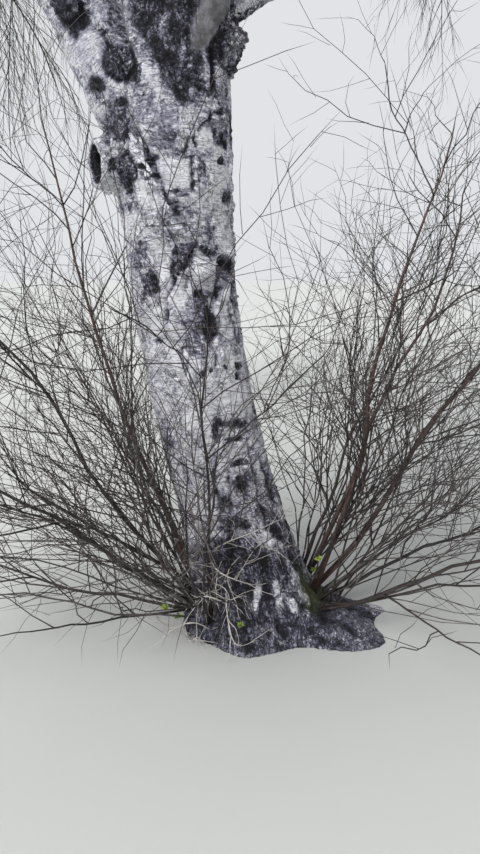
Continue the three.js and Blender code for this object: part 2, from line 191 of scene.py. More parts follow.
def leaning(lean, azimuth):
    """The way that leans from upright by so many degrees, towards an azimuth."""
    return level(azimuth) * math.sin(math.radians(lean)) + up * math.cos(math.radians(lean))


def unit(ways):
    return ways / np.linalg.norm(ways, axis=-1, keepdims=True)


def seeded(seed):
    """Numbers from 0 to 1 that are the same on every run."""
    state = seed

    def number():
        nonlocal state
        state = (state * 1664525 + 1013904223) % 4294967296
        return state / 4294967296

    return number


def between(ends, random):
    """A chance number between two."""
    return ends[0] + (ends[1] - ends[0]) * random()


def ease(low, high, values):
    """0 below low, 1 above high, and a smooth rise between them."""
    share = np.clip((values - low) / (high - low), 0, 1)
    return share * share * (3 - 2 * share)


def axis_x(height):
    return -trunk_lean * (1 - np.exp(-((np.maximum(height, 0) / lean_height) ** lean_curve)))


def trunk_radius(height, azimuth):
    radius = stem_radius + foot_swell * np.exp(-height / foot_swell_height)
    radius = radius + fork_swell * ease(fork_swell_from, fork_swell_to, height)
    for points_to, reach, width, high in buttresses:
        off = (azimuth - points_to + 180) % 360 - 180
        radius = radius + reach * np.exp(-((off / width) ** 2) - height / high)
    closing = np.clip((height - trunk_top + crotch_height) / crotch_height, 0, 1)
    return radius * np.sqrt(1 - (1 - crotch_flat**2) * closing**2)


def on_trunk(azimuth, height, inwards=0.0):
    """The point of the trunk's surface at an azimuth and a height, or so far inside it."""
    out = trunk_radius(height, azimuth) - inwards
    return np.array((axis_x(height), 0, height)) + level(azimuth) * out


def from_axis(places):
    """How far each place is from the trunk's axis, and at which azimuth."""
    across = places[:, 0] - axis_x(places[:, 2])
    return np.hypot(across, places[:, 1]), np.degrees(np.arctan2(places[:, 1], across))


def bend_points(foot, leave, arrive, tip, steps, sway, seed):
    """Points along a limb that bends from its foot to its tip, and sways a little on the way."""
    random = seeded(seed)
    phase = random() * 2 * math.pi
    side = unit(np.cross(tip - foot, level(random() * 360)))
    share = np.linspace(0, 1, steps + 1)[:, None]
    rest = 1 - share
    curve = rest**3 * foot + 3 * rest**2 * share * leave + 3 * rest * share**2 * arrive + share**3 * tip
    return curve + side * sway * np.sin(share * sway_waves * 2 * math.pi + phase) * np.sin(share * math.pi)


def limb_line(name, steps):
    """A limb's points and its radius at each."""
    limb = limbs[name]
    foot = np.array(limb["foot"], float)
    tip = crown_axis + level(limb["azimuth"]) * limb["reach"]
    tip[2] = limb["tip"]
    span = np.linalg.norm(tip - foot)
    leave = foot + leaning(limb["lean"], limb["leaving"]) * leave_share * span
    arrive = tip - leaning(arrive_lean, limb["azimuth"]) * arrive_share * span
    seed = limb_seed + list(limbs).index(name)
    points = bend_points(foot, leave, arrive, tip, steps, limb_sway, seed)
    slimming = (1 - np.linspace(0, 1, steps + 1)) ** limb_taper
    return points, limb["thin"] + (limb["thick"] - limb["thin"]) * slimming


def frames_along(points):
    """At each point of a line, two ways across it that don't twist."""
    ahead = unit(np.vstack((points[1] - points[0], points[2:] - points[:-2], points[-1] - points[-2])))
    across = np.cross(ahead[0], level(0) if abs(ahead[0][2]) > 0.9 else up)
    frames = []
    for way in ahead:
        across = unit(across - way * across.dot(way))
        frames.append((across, np.cross(across, way)))
    return np.array(frames)


def round_stem(sides, rings, place):
    """A closed round stem: place gives each corner from its ring and its turn."""
    shape = bmesh.new()
    bmesh.ops.create_cone(shape, cap_ends=True, segments=sides, radius1=1, radius2=1, depth=1)
    upright = [edge for edge in shape.edges if abs(edge.verts[0].co.z - edge.verts[1].co.z) > 0.5]
    bmesh.ops.subdivide_edges(shape, edges=upright, cuts=rings - 1)
    for corner in shape.verts:
        ring = round((corner.co.z + 0.5) * rings)
        corner.co = place(ring, math.atan2(corner.co.y, corner.co.x))
    return shape


def stem_along(points, radii, sides):
    """A closed round stem along a line."""
    frames = frames_along(points)

    def place(ring, turn):
        across, beside = frames[ring]
        return points[ring] + (across * math.cos(turn) - beside * math.sin(turn)) * radii[ring]

    return round_stem(sides, len(points) - 1, place)


trunk_rings = 90
ring_crowding = 1.3  # towards the ground
trunk_sides = 96
limb_feet_top = 2.52  # the limbs' feet are part of this piece up to here
limb_feet_fade = 0.1  # and shrink into the limbs above it
limb_fine_steps = 260
fork_sides = 40


def trunk_place(ring, turn):
    return on_trunk(math.degrees(turn), trunk_top * (ring / trunk_rings) ** ring_crowding)


def lathed(root, outwards, profile, sides):
    """A round shape on an axis, from a profile of places along the axis and radii there."""
    across = unit(np.cross(outwards, up))
    beside = np.cross(across, outwards)

    def place(ring, turn):
        out, radius = profile[ring]
        return root + outwards * out + (across * math.cos(turn) + beside * math.sin(turn)) * radius

    return round_stem(sides, len(profile) - 1, place)


# The collar of a lost branch: a callus rim round a hollow. Its profile runs out along it, over the rim and
# down into the hollow.
collar_azimuth = 194
collar_height = 1.862
collar_way = leaning(96, 208)
collar_root = on_trunk(collar_azimuth, collar_height, 0.075)
collar_profile = [
    (0, 0.135),
    (0.04, 0.12),
    (0.09, 0.098),
    (0.125, 0.088),
    (0.146, 0.086),
    (0.156, 0.078),
    (0.153, 0.066),
    (0.138, 0.057),
    (0.11, 0.05),
    (0.088, 0.036),
    (0.082, 0.012),
]

# Swellings at the knob and in the fork's foot: pixel, how far back, radius
swellings = [
    (97, 86, -0.06, 0.035),
    (186, 96, -0.13, 0.03),
]

shapes = [round_stem(trunk_sides, trunk_rings, trunk_place)]
limb_lines = {}
for name in limbs:
    points, radii = limb_line(name, limb_fine_steps)
    limb_lines[name] = (points, radii)
    low = points[:, 2] < limb_feet_top + limb_feet_fade
    foot_radii = radii * (1 - 0.5 * ease(limb_feet_top, limb_feet_top + limb_feet_fade, points[:, 2]))
    shapes.append(stem_along(points[low][::2], foot_radii[low][::2], fork_sides))


def ball(centre, radius):
    shape = bmesh.new()
    bmesh.ops.create_icosphere(shape, subdivisions=3, radius=radius)
    bmesh.ops.translate(shape, verts=shape.verts, vec=centre)
    return shape


def along_line(places, marks, line):
    """The points of a line at some places, by the marks at which its own points stand."""
    return np.stack([np.interp(places, marks, line[:, axis]) for axis in range(3)], axis=-1)


# The heap of burry wood that fills the fork between the left limb and the centre one: its line and radii
fork_heap = np.array([(-0.25, -0.045, 1.95), (-0.31, -0.035, 2.3), (-0.37, 0.0, 2.75)])
fork_heap_radii = np.array([0.165, 0.15, 0.12])
heap_marks = range(len(fork_heap))
heap_steps = np.linspace(0, heap_marks[-1], 16)
heap_line = along_line(heap_steps, heap_marks, fork_heap)
heap_radii = np.interp(heap_steps, heap_marks, fork_heap_radii)
shapes.append(stem_along(heap_line, heap_radii, fork_sides))

burl_lift = 0.026
burls = []
for azimuth, height, radius, proud in trunk_burls:
    burls.append((on_trunk(azimuth, height, radius * (1 - proud)), radius))
for name, height, towards, radius, proud in limb_burls:
    points, radii = limb_lines[name]
    nearest = int(np.argmin(abs(points[:, 2] - height)))
    out = radii[nearest] - radius * (1 - proud) + burl_lift
    burls.append((points[nearest] + unit(np.array(towards)) * out, radius))
lumps = [(behind_pixel(right, down, back), radius) for right, down, back, radius in swellings]

# A burl is a heap of knobs, but the one on the trunk's front is smooth. In parts of the burl's radius: how
# far out a knob stands, its least radius, and how much more that may be
burl_knobs = 34
knob_out = 0.82
knob_least = 0.26
knob_more = 0.14
smooth_burl_height = trunk_burls[1][1]
smooth_burl_reach = 0.12
random = seeded(31)
for centre, radius in burls:
    if abs(centre[2] - smooth_burl_height) > smooth_burl_reach:
        for _ in range(burl_knobs):
            rise = 2 * random() - 1
            way = level(360 * random()) * math.sqrt(1 - rise * rise) + up * rise
            lumps.append((centre + way * radius * knob_out, radius * (knob_least + knob_more * random())))
shapes += [ball(centre, radius) for centre, radius in burls + lumps]
shapes.append(lathed(collar_root, collar_way, collar_profile, 40))


def joined(shapes, name):
    """One mesh of several closed shapes."""
    whole = bmesh.new()
    for shape in shapes:
        bmesh.ops.recalc_face_normals(shape, faces=shape.faces)
        part = bpy.data.meshes.new("part")
        shape.to_mesh(part)
        shape.free()
        whole.from_mesh(part)
        bpy.data.meshes.remove(part)
    mesh = bpy.data.meshes.new(name)
    whole.to_mesh(mesh)
    whole.free()
    return mesh


def grown_together(mesh, voxel):
    """The mesh's overlapping shapes as one skin."""
    holder = new_object("holder", mesh)
    remesh = holder.modifiers.new("remesh", "REMESH")
    remesh.mode = "VOXEL"
    remesh.voxel_size = voxel
    shown = holder.evaluated_get(bpy.context.evaluated_depsgraph_get())
    skin = bpy.data.meshes.new_from_object(shown)
    bpy.data.objects.remove(holder)
    return skin


bark_voxel = 0.0089
bark_mesh = grown_together(joined(shapes, "trunk_shapes"), bark_voxel)


def corners_and_normals(mesh):
    corners = np.empty((len(mesh.vertices), 3))
    normals = np.empty((len(mesh.vertices), 3))
    mesh.vertices.foreach_get("co", corners.ravel())
    mesh.vertex_normals.foreach_get("vector", normals.ravel())
    return corners, normals


def lengths_along(points):
    """How far along their line the points stand."""
    return np.append(0, np.cumsum(np.linalg.norm(np.diff(points, axis=0), axis=1)))


def from_limb(places, points, radii):
    """How far each place is outside a limb's bark, and its place in the limb: two across, and along."""
    best = np.full(len(places), np.inf)
    grain = np.zeros((len(places), 3))
    frames = frames_along(points)
    lengths = lengths_along(points)
    for i in range(len(points) - 1):
        stretch = points[i + 1] - points[i]
        share = np.clip((places - points[i]) @ stretch / stretch.dot(stretch), 0, 1)
        off = places - points[i] - share[:, None] * stretch
        outside = np.linalg.norm(off, axis=1) - (radii[i] + (radii[i + 1] - radii[i]) * share)
        nearer = outside < best
        best[nearer] = outside[nearer]
        along = lengths[i] + share * (lengths[i + 1] - lengths[i])
        place = np.stack((off @ frames[i][0], off @ frames[i][1], along), 1)
        grain[nearer] = place[nearer]
    return best, grain


def limb_place(name, places):
    """How far each place is outside a limb's bark, and its place in the limb's grain."""
    points, radii = limb_lines[name]
    off, grain = from_limb(places, points[::6], radii[::6])
    return off, grain + (0, 0, limbs[name]["foot"][2])


def carried_by(places):
    """For each place on the skin: which stem carries it (0 is the trunk), its place in that stem's grain,
    and how near it is to a joint between two stems. The heap in the fork is the last of the stems."""
    off, azimuth = from_axis(places)
    crotch = trunk_top - crotch_height
    outside = [off - trunk_radius(np.minimum(places[:, 2], crotch), azimuth)]
    outside[0] = outside[0] + np.maximum(places[:, 2] - crotch, 0)
    grains = [places - np.stack((axis_x(places[:, 2]), 0 * azimuth, 0 * azimuth), 1)]
    for name in limbs:
        off, grain = limb_place(name, places)
        outside.append(off)
        grains.append(grain)
    outside.append(from_limb(places, heap_line, heap_radii)[0])
    grains.append(places - (axis_x(trunk_top), 0, 0))
    outside = np.array(outside)
    stem = np.argmin(abs(outside), axis=0)
    grain = np.choose(stem[:, None], grains)
    ranked = np.sort(abs(outside), axis=0)
    return stem, grain, ranked[1] - ranked[0]


_, grain, to_joint = carried_by(corners_and_normals(bark_mesh)[0])

# The skin draws smooth all over, and more where stems meet above the foot
joint_width = 0.04
joint_rounds = 6
skin_rounds = 2
half_way = dict(factor=0.5, use_axis_x=True, use_axis_y=True, use_axis_z=True)
soft_skin = bmesh.new()
soft_skin.from_mesh(bark_mesh)
soft_skin.verts.ensure_lookup_table()
near_joint = [soft_skin.verts[i] for i in np.nonzero((to_joint < joint_width) & (grain[:, 2] > 0.3))[0]]
for _ in range(joint_rounds):
    bmesh.ops.smooth_vert(soft_skin, verts=near_joint, **half_way)
for _ in range(skin_rounds):
    bmesh.ops.smooth_vert(soft_skin, verts=soft_skin.verts, **half_way)
soft_skin.to_mesh(bark_mesh)
soft_skin.free()

skin, outwards = corners_and_normals(bark_mesh)
stem, grain, to_joint = carried_by(skin)
right, down = seen_at(skin)
facing = ease(0.02, 0.4, -np.sum(outwards * unit(skin - camera_place), axis=1))


def grainy(places, scale, stretch=(1, 1, 1)):
    """Smooth noise from -1 to 1, at places that are scaled and stretched."""
    spots = places * np.array(stretch) * scale + scale
    return np.array([noise.noise(spot) for spot in spots.tolist()])


fine = grainy(skin, 62)
middling = grainy(skin, 24)
broad = grainy(skin, 8)
ragged = 0.55 * fine + 0.7 * middling


def patch(centre_right, centre_down, across, along, tilt):
    """How far each corner lies in a patch that the view shows: 1 inside, 0 outside, ragged between. The
    patch leans to the right by its tilt, in degrees."""
    lean = math.radians(tilt)
    off_right = right - centre_right
    off_down = down - centre_down
    over = (off_right * math.cos(lean) + off_down * math.sin(lean)) / across
    along_it = (off_right * math.sin(lean) - off_down * math.cos(lean)) / along
    return ease(0.1, 0.9, 1.5 - np.hypot(over, along_it) + 0.6 * ragged) * facing


def off_line(line, at_right, at_down):
    """How many pixels each place in the view is from a line of pixels."""
    nearest = np.full(len(at_right), np.inf)
    for (right_a, down_a), (right_b, down_b) in zip(line, line[1:]):
        along_right, along_down = right_b - right_a, down_b - down_a
        share = (at_right - right_a) * along_right + (at_down - down_a) * along_down
        share = np.clip(share / (along_right**2 + along_down**2), 0, 1)
        off = np.hypot(at_right - right_a - share * along_right, at_down - down_a - share * along_down)
        nearest = np.minimum(nearest, off)
    return nearest


def within(outline):
    """How many pixels inside an outline in the view each corner lies, or below 0 outside it."""
    closed = outline + outline[:1]
    inside = np.zeros(len(right), bool)
    for (right_a, down_a), (right_b, down_b) in zip(closed, closed[1:]):
        if down_a != down_b:
            passes = (down > min(down_a, down_b)) & (down <= max(down_a, down_b))
            edge = right_a + (down - down_a) / (down_b - down_a) * (right_b - right_a)
            inside ^= passes & (right < edge)
    off = off_line(closed, right, down)
    return np.where(inside, off, -off)


# The bark's shades, from 0, black, to 1, white, by where the view shows them: pixel, half width and half
# height in pixels, tilt, shade
shades = [
    (86, 50, 17, 40, -26, 0.57),
    (60, 6, 8, 9, 0, 0.58),
    (97, 8, 7, 12, 0, 0.62),
    (113, 25, 11, 28, -25, 0.44),
    (138, 42, 7, 26, -35, 0.5),
    (119, 87, 8, 5, 0, 0.68),
    (137, 80, 8, 20, -35, 0.5),
    (167, 96, 5, 28, -37, 0.7),
    (147, 68, 5, 8, -30, 0.6),
    (150, 116, 26, 14, 0, 0.42),
    (200, 110, 14, 7, 0, 0.7),
    (212, 108, 9, 5, 0, 0.64),
    (208, 119, 8, 7, 0, 0.62),
    (220, 120, 8, 10, 0, 0.53),
    (221, 80, 6, 26, 0, 0.6),
    (206, 74, 4, 24, 0, 0.42),
    (196, 96, 5, 12, -15, 0.42),
    (150, 60, 4, 22, -25, 0.46),
    (164, 20, 3, 16, 10, 0.42),
    (182, 60, 3, 18, 12, 0.41),
    (165, 138, 20, 14, 0, 0.36),
    (182, 139, 5, 10, 0, 0.64),
    (205, 139, 9, 10, 0, 0.74),
    (190, 143, 4, 7, 0, 0.48),
    (172, 177, 16, 17, -10, 0.78),
    (185, 154, 25, 5, 0, 0.34),
    (202, 176, 6, 18, 0, 0.33),
    (214, 190, 5, 36, 0, 0.66),
    (202, 208, 13, 18, 0, 0.62),
    (180, 214, 18, 10, -20, 0.42),
    (150, 196, 12, 20, -30, 0.66),
    (154, 219, 6, 5, 0, 0.7),
    (129, 163, 8, 12, -20, 0.62),
    (113, 147, 9, 9, -15, 0.64),
    (107, 190, 11, 10, 0, 0.64),
    (127, 208, 10, 6, -30, 0.32),
    (129, 225, 12, 10, -20, 0.74),
    (178, 228, 9, 4, 0, 0.74),
    (163, 233, 12, 7, 0, 0.45),
    (222, 220, 9, 22, 0, 0.72),
    (196, 232, 16, 6, 0, 0.42),
    (142, 258, 9, 20, 0, 0.38),
    (163, 262, 8, 24, -4, 0.86),
    (183, 258, 11, 16, 0, 0.32),
    (186, 285, 6, 16, 10, 0.6),
    (176, 297, 9, 10, -20, 0.86),
    (148, 271, 7, 3, -15, 0.66),
    (200, 325, 18, 26, 0, 0.27),
    (190, 310, 8, 10, 0, 0.32),
    (158, 320, 9, 17, -15, 0.75),
    (172, 328, 5, 18, -10, 0.68),
    (194, 355, 12, 20, 0, 0.34),
    (178, 358, 10, 22, -30, 0.8),
    (182, 373, 9, 8, 0, 0.92),
    (200, 368, 10, 9, 0, 0.56),
    (144, 350, 6, 50, -6, 0.7),
    (228, 372, 10, 22, -10, 0.78),
    (231, 330, 6, 26, -8, 0.62),
    (222, 289, 5, 14, 35, 0.64),
    (204, 271, 10, 11, 0, 0.66),
    (204, 283, 7, 5, 0, 0.64),
    (197, 390, 18, 11, 0, 0.62),
    (160, 375, 12, 26, -5, 0.58),
    (168, 412, 12, 20, 0, 0.62),
    (168, 434, 9, 14, 0, 0.38),
    (198, 412, 16, 16, 0, 0.74),
    (232, 403, 18, 13, 0, 0.78),
    (235, 446, 16, 6, 0, 0.7),
    (236, 456, 7, 5, 0, 0.62),
    (253, 443, 8, 14, 0, 0.56),
    (190, 448, 8, 10, 0, 0.64),
    (206, 454, 6, 5, 0, 0.84),
    (205, 475, 6, 8, 0, 0.5),
    (185, 470, 10, 18, 0, 0.52),
    (183, 500, 8, 26, 0, 0.54),
    (196, 525, 12, 14, 0, 0.5),
    (198, 498, 9, 17, 0, 0.82),
    (262, 495, 16, 30, -10, 0.42),
    (238, 590, 30, 58, 0, 0.22),
    (284, 590, 24, 52, -15, 0.33),
    (346, 622, 34, 20, 0, 0.33),
    (366, 601, 16, 9, 0, 0.33),
    (368, 630, 18, 4, -35, 0.35),
    (318, 610, 9, 28, 0, 0.18),
    (238, 503, 11, 11, 0, 0.6),
    (237, 517, 5, 8, 0, 0.5),
    (268, 540, 5, 11, -15, 0.74),
    (260, 540, 4, 6, -20, 0.62),
    (258, 591, 4, 8, 10, 0.68),
    (255, 605, 3, 7, 0, 0.62),
    (235, 587, 5, 7, 0, 0.55),
    (275, 589, 3.5, 8, 0, 0.64),
    (279, 606, 3, 8, 0, 0.66),
    (291, 605, 4, 8, -15, 0.62),
    (300, 588, 4, 22, -20, 0.5),
]

# Rough, cracked or torn bark, in the same way
rough_spots = [
    (76, 17, 15, 17, 0, 0.15),
    (124, 66, 16, 17, -10, 0.2),
    (96, 86, 8, 8, 30, 0.2),
    (121, 101, 6, 4, 0, 0.1),
    (121, 128, 11, 17, -15, 0.24),
    (112, 165, 7, 7, 0, 0.12),
    (130, 186, 5.5, 7.5, -20, 0.14),
    (180, 193, 9, 3, 15, 0.04),
    (195, 141, 2.5, 9, -20, 0.2),
    (187, 143, 2.5, 9, 15, 0.24),
    (192, 172, 2.5, 20, 0, 0.22),
    (221, 161, 4, 5, 30, 0.02),
    (217, 138, 3, 9, -15, 0.24),
    (224, 140, 3, 9, -15, 0.1),
    (227, 197, 4.5, 8, 0, 0.18),
    (146, 149, 3, 4, -30, 0.0),
    (147, 167, 4, 3, -20, 0.04),
    (155, 176, 3, 4, -30, 0.04),
    (151, 284, 9, 13, 0, 0.22),
    (173, 270, 2.5, 10, 0, 0.1),
    (211, 252, 13, 3, 22, 0.34),
    (219, 275, 5, 12, 0, 0.3),
    (201, 294, 8, 5, 0, 0.15),
    (211, 333, 6, 14, 5, 0.02),
    (208, 312, 2, 8, 0, 0.02),
    (228, 266, 3, 9, -20, 0.2),
    (238, 366, 3, 4, -20, 0.02),
    (237, 376, 3, 4, 30, 0.05),
    (211, 371, 3, 3, 0, 0.08),
    (203, 374, 3, 3, 0, 0.1),
    (225, 367, 3, 1.5, 0, 0.06),
    (157, 341, 6, 3, -20, 0.2),
    (233, 424, 17, 4, 0, 0.25),
    (216, 430, 4, 15, 0, 0.28),
    (235, 439, 8, 2.5, -8, 0.08),
    (239, 463, 9, 3.5, -8, 0.08),
    (240, 484, 6, 8, 0, 0.14),
    (223, 503, 5, 8, 0, 0.24),
    (232, 525, 20, 9, 0, 0.26),
]

# The V of the fork is filled with dark, blocky bark, a swelling beside it is smoother, and the front limb's
# bark is smooth and grey: their outlines in the view
fork_outline = [
    (124, -30), (130, 24), (153, 61), (186, 112), (200, 98), (226, 96), (229, 62), (262, 30), (262, -30),
]
swelling_outline = [(225, 66), (222, 44), (232, 20), (262, 8), (270, 60)]
front_outline = [
    (209, -30), (196, 10), (191, 25), (191, 48), (204, 50), (219, 30), (226, 17), (234, 0), (245, -30),
]
bare = ease(-2, 4, within(front_outline) + 2 * ragged) * facing * (skin[:, 2] > 2.0)
in_fork = ease(-4, 5, within(fork_outline) + 6 * ragged) * facing * (skin[:, 2] > 1.8) * (1 - bare)
far_right = ease(0.0, 0.1, skin[:, 0]) * (skin[:, 2] > 1.9)

# Where the bark is smooth and even, in the same way as its shades, and how much so
calm_spots = [
    (85, 49, 17, 40, -26, 0.8),
    (60, 6, 8, 9, 0, 0.8),
    (100, 10, 7, 12, 0, 0.8),
    (107, 190, 11, 10, 0, 0.8),
    (150, 197, 10, 17, -30, 0.8),
    (345, 618, 42, 26, 0, 0.8),
    (155, 124, 26, 22, -30, 0.45),
]
calm_foot = 0.45
calm_pale = 0.45
calm = np.maximum(bare, calm_foot * ease(0.42, 0.08, grain[:, 2]))
for *placing, much in calm_spots:
    calm = np.maximum(calm, much * patch(*placing))

# The foot is corky, higher up on its right than on its left. The fork is dark and rough, the centre limb is
# never black where it shows beside it, and the lighter bark is lighter still from some way down
fork_shade = 0.24
swelling_shade = 0.5
swelling_rough = 0.6
far_right_rough = 0.7
centre_limb = 1 + list(limbs).index("centre")
centre_limb_least = 0.3
centre_limb_from, centre_limb_to = 176, 184  # pixels from the left
lighter = 0.15
lighter_from, lighter_to = 90, 150  # pixels from the top
corky = ease(0.3, -0.22, grain[:, 2] - 0.53 - 0.8 * np.clip(grain[:, 0], -0.25, 0.25) + 0.2 * broad)
shade = 0.58 + 0.16 * broad - 0.25 * corky * (1 - 0.2 * broad)
in_swelling = ease(-3, 4, within(swelling_outline) + 3 * ragged) * facing * (skin[:, 2] > 1.8)
shade = shade + (fork_shade - shade) * in_fork
shade = shade + (swelling_shade - shade) * in_swelling
rough = np.maximum(np.maximum(in_fork, swelling_rough * in_swelling), far_right_rough * far_right)
for *placing, value in shades:
    weight = patch(*placing)
    shade = shade + (value - shade) * weight
    if value > 0.7:
        calm = np.maximum(calm, calm_pale * weight)
    if value > 0.4:
        rough = rough * (1 - 0.8 * weight)
for *placing, value in rough_spots:
    weight = patch(*placing)
    shade = shade + (value - shade) * weight
    rough = np.maximum(rough, weight)
least = centre_limb_least * ease(centre_limb_from, centre_limb_to, right)
shade = np.where(stem == centre_limb, np.maximum(shade, least), shade)
shade = shade + lighter * ease(0.24, 0.48, shade) * ease(lighter_from, lighter_to, down)

# The sides that the view doesn't show carry patches of the same kinds. Chance deals out their azimuths,
# their heights and their half sizes
hidden_patches = 130
hidden_shades = (0.12, 0.78, 0.36, 0.64)  # the first of them is rough as well
azimuth = np.degrees(np.arctan2(grain[:, 1], grain[:, 0]))
random = seeded(5)
for k in range(hidden_patches):
    at = -25 + 230 * random()
    height = 0.4 + 2.1 * random()
    across = 0.012 + 0.06 * random()
    along = 0.02 + 0.09 * random()
    off = ((azimuth - at + 180) % 360 - 180) / 57.3 * np.hypot(grain[:, 0], grain[:, 1]) / across
    far = np.hypot(off, (grain[:, 2] - height) / along)
    spot = ease(0, 1, 1.5 - far + 0.5 * ragged) * (1 - facing)
    kind = k % len(hidden_shades)
    shade = shade + (hidden_shades[kind] - shade) * spot
    if kind == 0:
        rough = np.maximum(rough, spot)

# Burls are rough all over, with a ring of painted shade round those on limbs, where they meet the bark.
# The collar's rim is smooth callus, and its hollow is painted black as shade.
burl_shade = 0.27
rim_shade = 0.68
burry = np.zeros(len(skin))
for centre, radius in burls:
    burry = np.maximum(burry, ease(1.25, 1.08, np.linalg.norm(skin - centre, axis=1) / radius))
burry = burry * np.where(abs(skin[:, 2] - smooth_burl_height) < smooth_burl_reach, 0, 1)
shade = shade + (burl_shade - shade) * burry * (1 - in_swelling)
# Painted shade: a dark ring round each limb burl, where it meets the bark.
for centre, radius in burls[len(trunk_burls):]:
    from_burl = np.linalg.norm(skin - centre, axis=1) / radius
    shade = shade * (1 - 0.75 * np.exp(-(((from_burl - 1.26) / 0.13) ** 2)))
on_collar = skin - collar_root
collar_out = on_collar @ collar_way
collar_off = np.linalg.norm(on_collar - collar_out[:, None] * collar_way, axis=1)
rim = ease(0.124, 0.138, collar_out) * ease(0.105, 0.095, collar_off) * ease(0.058, 0.066, collar_off)
# The collar's hollow is painted black: painted shade in the recess.
painted_hollow_shade = ease(0.06, 0.075, collar_out) * ease(0.068, 0.06, collar_off)
rough = np.maximum(rough, burry * (1 - 0.4 * in_swelling)) * (1 - rim) * (1 - painted_hollow_shade)
shade = shade + (rim_shade - shade) * rim
shade = shade * (1 - painted_hollow_shade)

# Folds and cracks in the view: pixels along them, half width in pixels, depth, and the lip beside them
folds = [
    ([(138, 135), (144, 148), (153, 165), (157, 178), (165, 194), (174, 207), (185, 226)],
     3.3, 0.03, 0.018),
    ([(198, 130), (206, 124), (216, 114), (232, 107)], 1.3, 0.008, 0.003),
    ([(211, 50), (213, 66), (214, 84)], 1.5, 0.012, 0.004),
    ([(236, 255), (234, 275), (232, 296), (238, 320), (240, 345)], 1.6, 0.01, 0.005),
    ([(224, 262), (226, 280), (214, 298), (209, 322), (210, 348)], 2.6, 0.01, 0.007),
    ([(198, 242), (187, 262), (176, 280), (167, 300), (165, 320)], 1.7, 0.012, 0.006),
    ([(182, 346), (181, 358), (188, 374)], 1.4, 0.006, 0.004),
    ([(213, 350), (216, 362), (214, 378)], 1.2, 0.005, 0.003),
    ([(229, 312), (234, 326), (236, 344)], 1.2, 0.005, 0.003),
    ([(112, 108), (104, 124), (107, 142)], 3, 0.012, 0.004),
    ([(204, 552), (211, 600), (214, 645)], 5, 0.02, 0.006),
    ([(232, 560), (240, 600), (252, 650)], 3.5, 0.011, 0.004),
    ([(264, 560), (270, 600), (288, 645)], 4.5, 0.014, 0.005),
    ([(296, 552), (312, 590), (330, 622)], 5, 0.018, 0.006),
    ([(247, 440), (252, 462), (259, 500), (268, 530)], 1.4, 0.008, 0.003),
    ([(258, 452), (264, 470), (273, 505), (288, 545)], 1.3, 0.008, 0.003),
    ([(214, 456), (217, 490), (221, 530)], 1.6, 0.009, 0.003),
    ([(228, 470), (231, 500), (228, 530), (234, 560)], 1.4, 0.008, 0.003),
    ([(304, 606), (320, 612), (340, 622), (362, 637)], 3.2, 0.012, 0.008),
    ([(322, 596), (342, 603), (362, 611), (384, 619)], 2.6, 0.01, 0.006),
    ([(296, 622), (308, 630), (326, 640), (340, 645)], 3, 0.01, 0.006),
]
fold_relief = np.zeros(len(skin))
fold_painted_shade = np.zeros(len(skin))
wobble_right = 3.2 * middling + 1.3 * fine
wobble_down = 3.2 * grainy(skin, 31) + 1.3 * fine
for line, width, depth, lip in folds:
    off = off_line(line, right + wobble_right, down + wobble_down)
    off = off / (1.25 * width * (1 + 0.5 * broad))
    fold_relief += facing * (lip * np.exp(-((off - 2.4) ** 2)) - depth * np.exp(-(off**2)))
    fold_painted_shade = np.maximum(fold_painted_shade, facing * np.exp(-(off**2)) * (0.7 + 0.5 * middling))
# Painted shade darkens the bark along each fold and crack.
shade = shade * (1 - 0.9 * np.clip(fold_painted_shade, 0, 1))

# The left limb's bark rolls down over the trunk, as far as the long fold
roll_line = [(150, 120), (143, 160), (150, 195), (164, 228)]
roll_width = 13  # pixels
roll = facing * np.exp(-((off_line(roll_line, right, down) / roll_width) ** 2))

# The round knot: a raised whorl in a sunken ring
knot_right, knot_down = 205, 272
knot_height = 0.022
whorl_height = 0.004
ring_depth = 0.018
from_knot = np.hypot(right - knot_right, (down - knot_down) * 0.9) + 1.5 * middling
knot_relief = knot_height * np.exp(-((from_knot / 9) ** 2))
knot_relief += whorl_height * np.cos(from_knot * 1.4) * np.exp(-((from_knot / 14) ** 2))
knot_relief -= ring_depth * np.exp(-(((from_knot - 17) / 4.5) ** 2))
knot_relief *= facing

# The bark's relief outwards: how high its coarse and its fine unevenness, the streaks and plates of cork,
# the blocks and cracks of rough bark, and the roll of the left limb's bark stand, in metres
broad_height = 0.007
middling_height = 0.0045
fine_height = 0.0026
streak_height = 0.013
plate_height = 0.011
block_height = 0.022
crack_height = 0.011
knob_height = 0.01
crease_depth = 0.006
crease_dark = 0.34
roll_height = 0.018
streaks = grainy(grain, 30, (1, 1, 0.22))
bent_grain = grain + 0.012 * np.stack((middling, grainy(skin, 27), middling), 1)
creases = ease(0.09, 0.01, abs(grainy(bent_grain, 13, (1, 1, 0.34)))) * ease(-0.25, 0.2, grainy(grain, 5))
creases = creases * (1 - corky) * (1 - rough) * (1 - calm)
shade = shade * (1 - crease_dark * creases)
plates = grainy(grain, 56, (1, 1, 0.35))
blocks = grainy(grain, 48)
relief = broad_height * broad + (1 - 0.7 * calm) * (middling_height * middling + fine_height * fine)
furrowed = streak_height * (0.3 - abs(streaks)) + plate_height * (0.3 - abs(plates)) + 0.004 * fine
relief += corky * furrowed
blocky = block_height * (abs(blocks) - 0.22) + crack_height * abs(grainy(grain, 85)) - 0.004
relief += rough * (1 - corky) * blocky
relief += burry * (knob_height * abs(grainy(skin, 58)) + 0.006 * fine)
relief += 0.006 * (shade - 0.5) - crease_depth * creases + fold_relief + knot_relief + roll_height * roll
relief = relief * (0.3 + 0.7 * ease(0, 0.07, skin[:, 2]))
inside_rim = ease(0.11, 0.13, collar_out) * ease(0.064, 0.052, collar_off)
relief = relief * (1 - inside_rim) + rim * 0.003

skin = skin + outwards * relief[:, None]

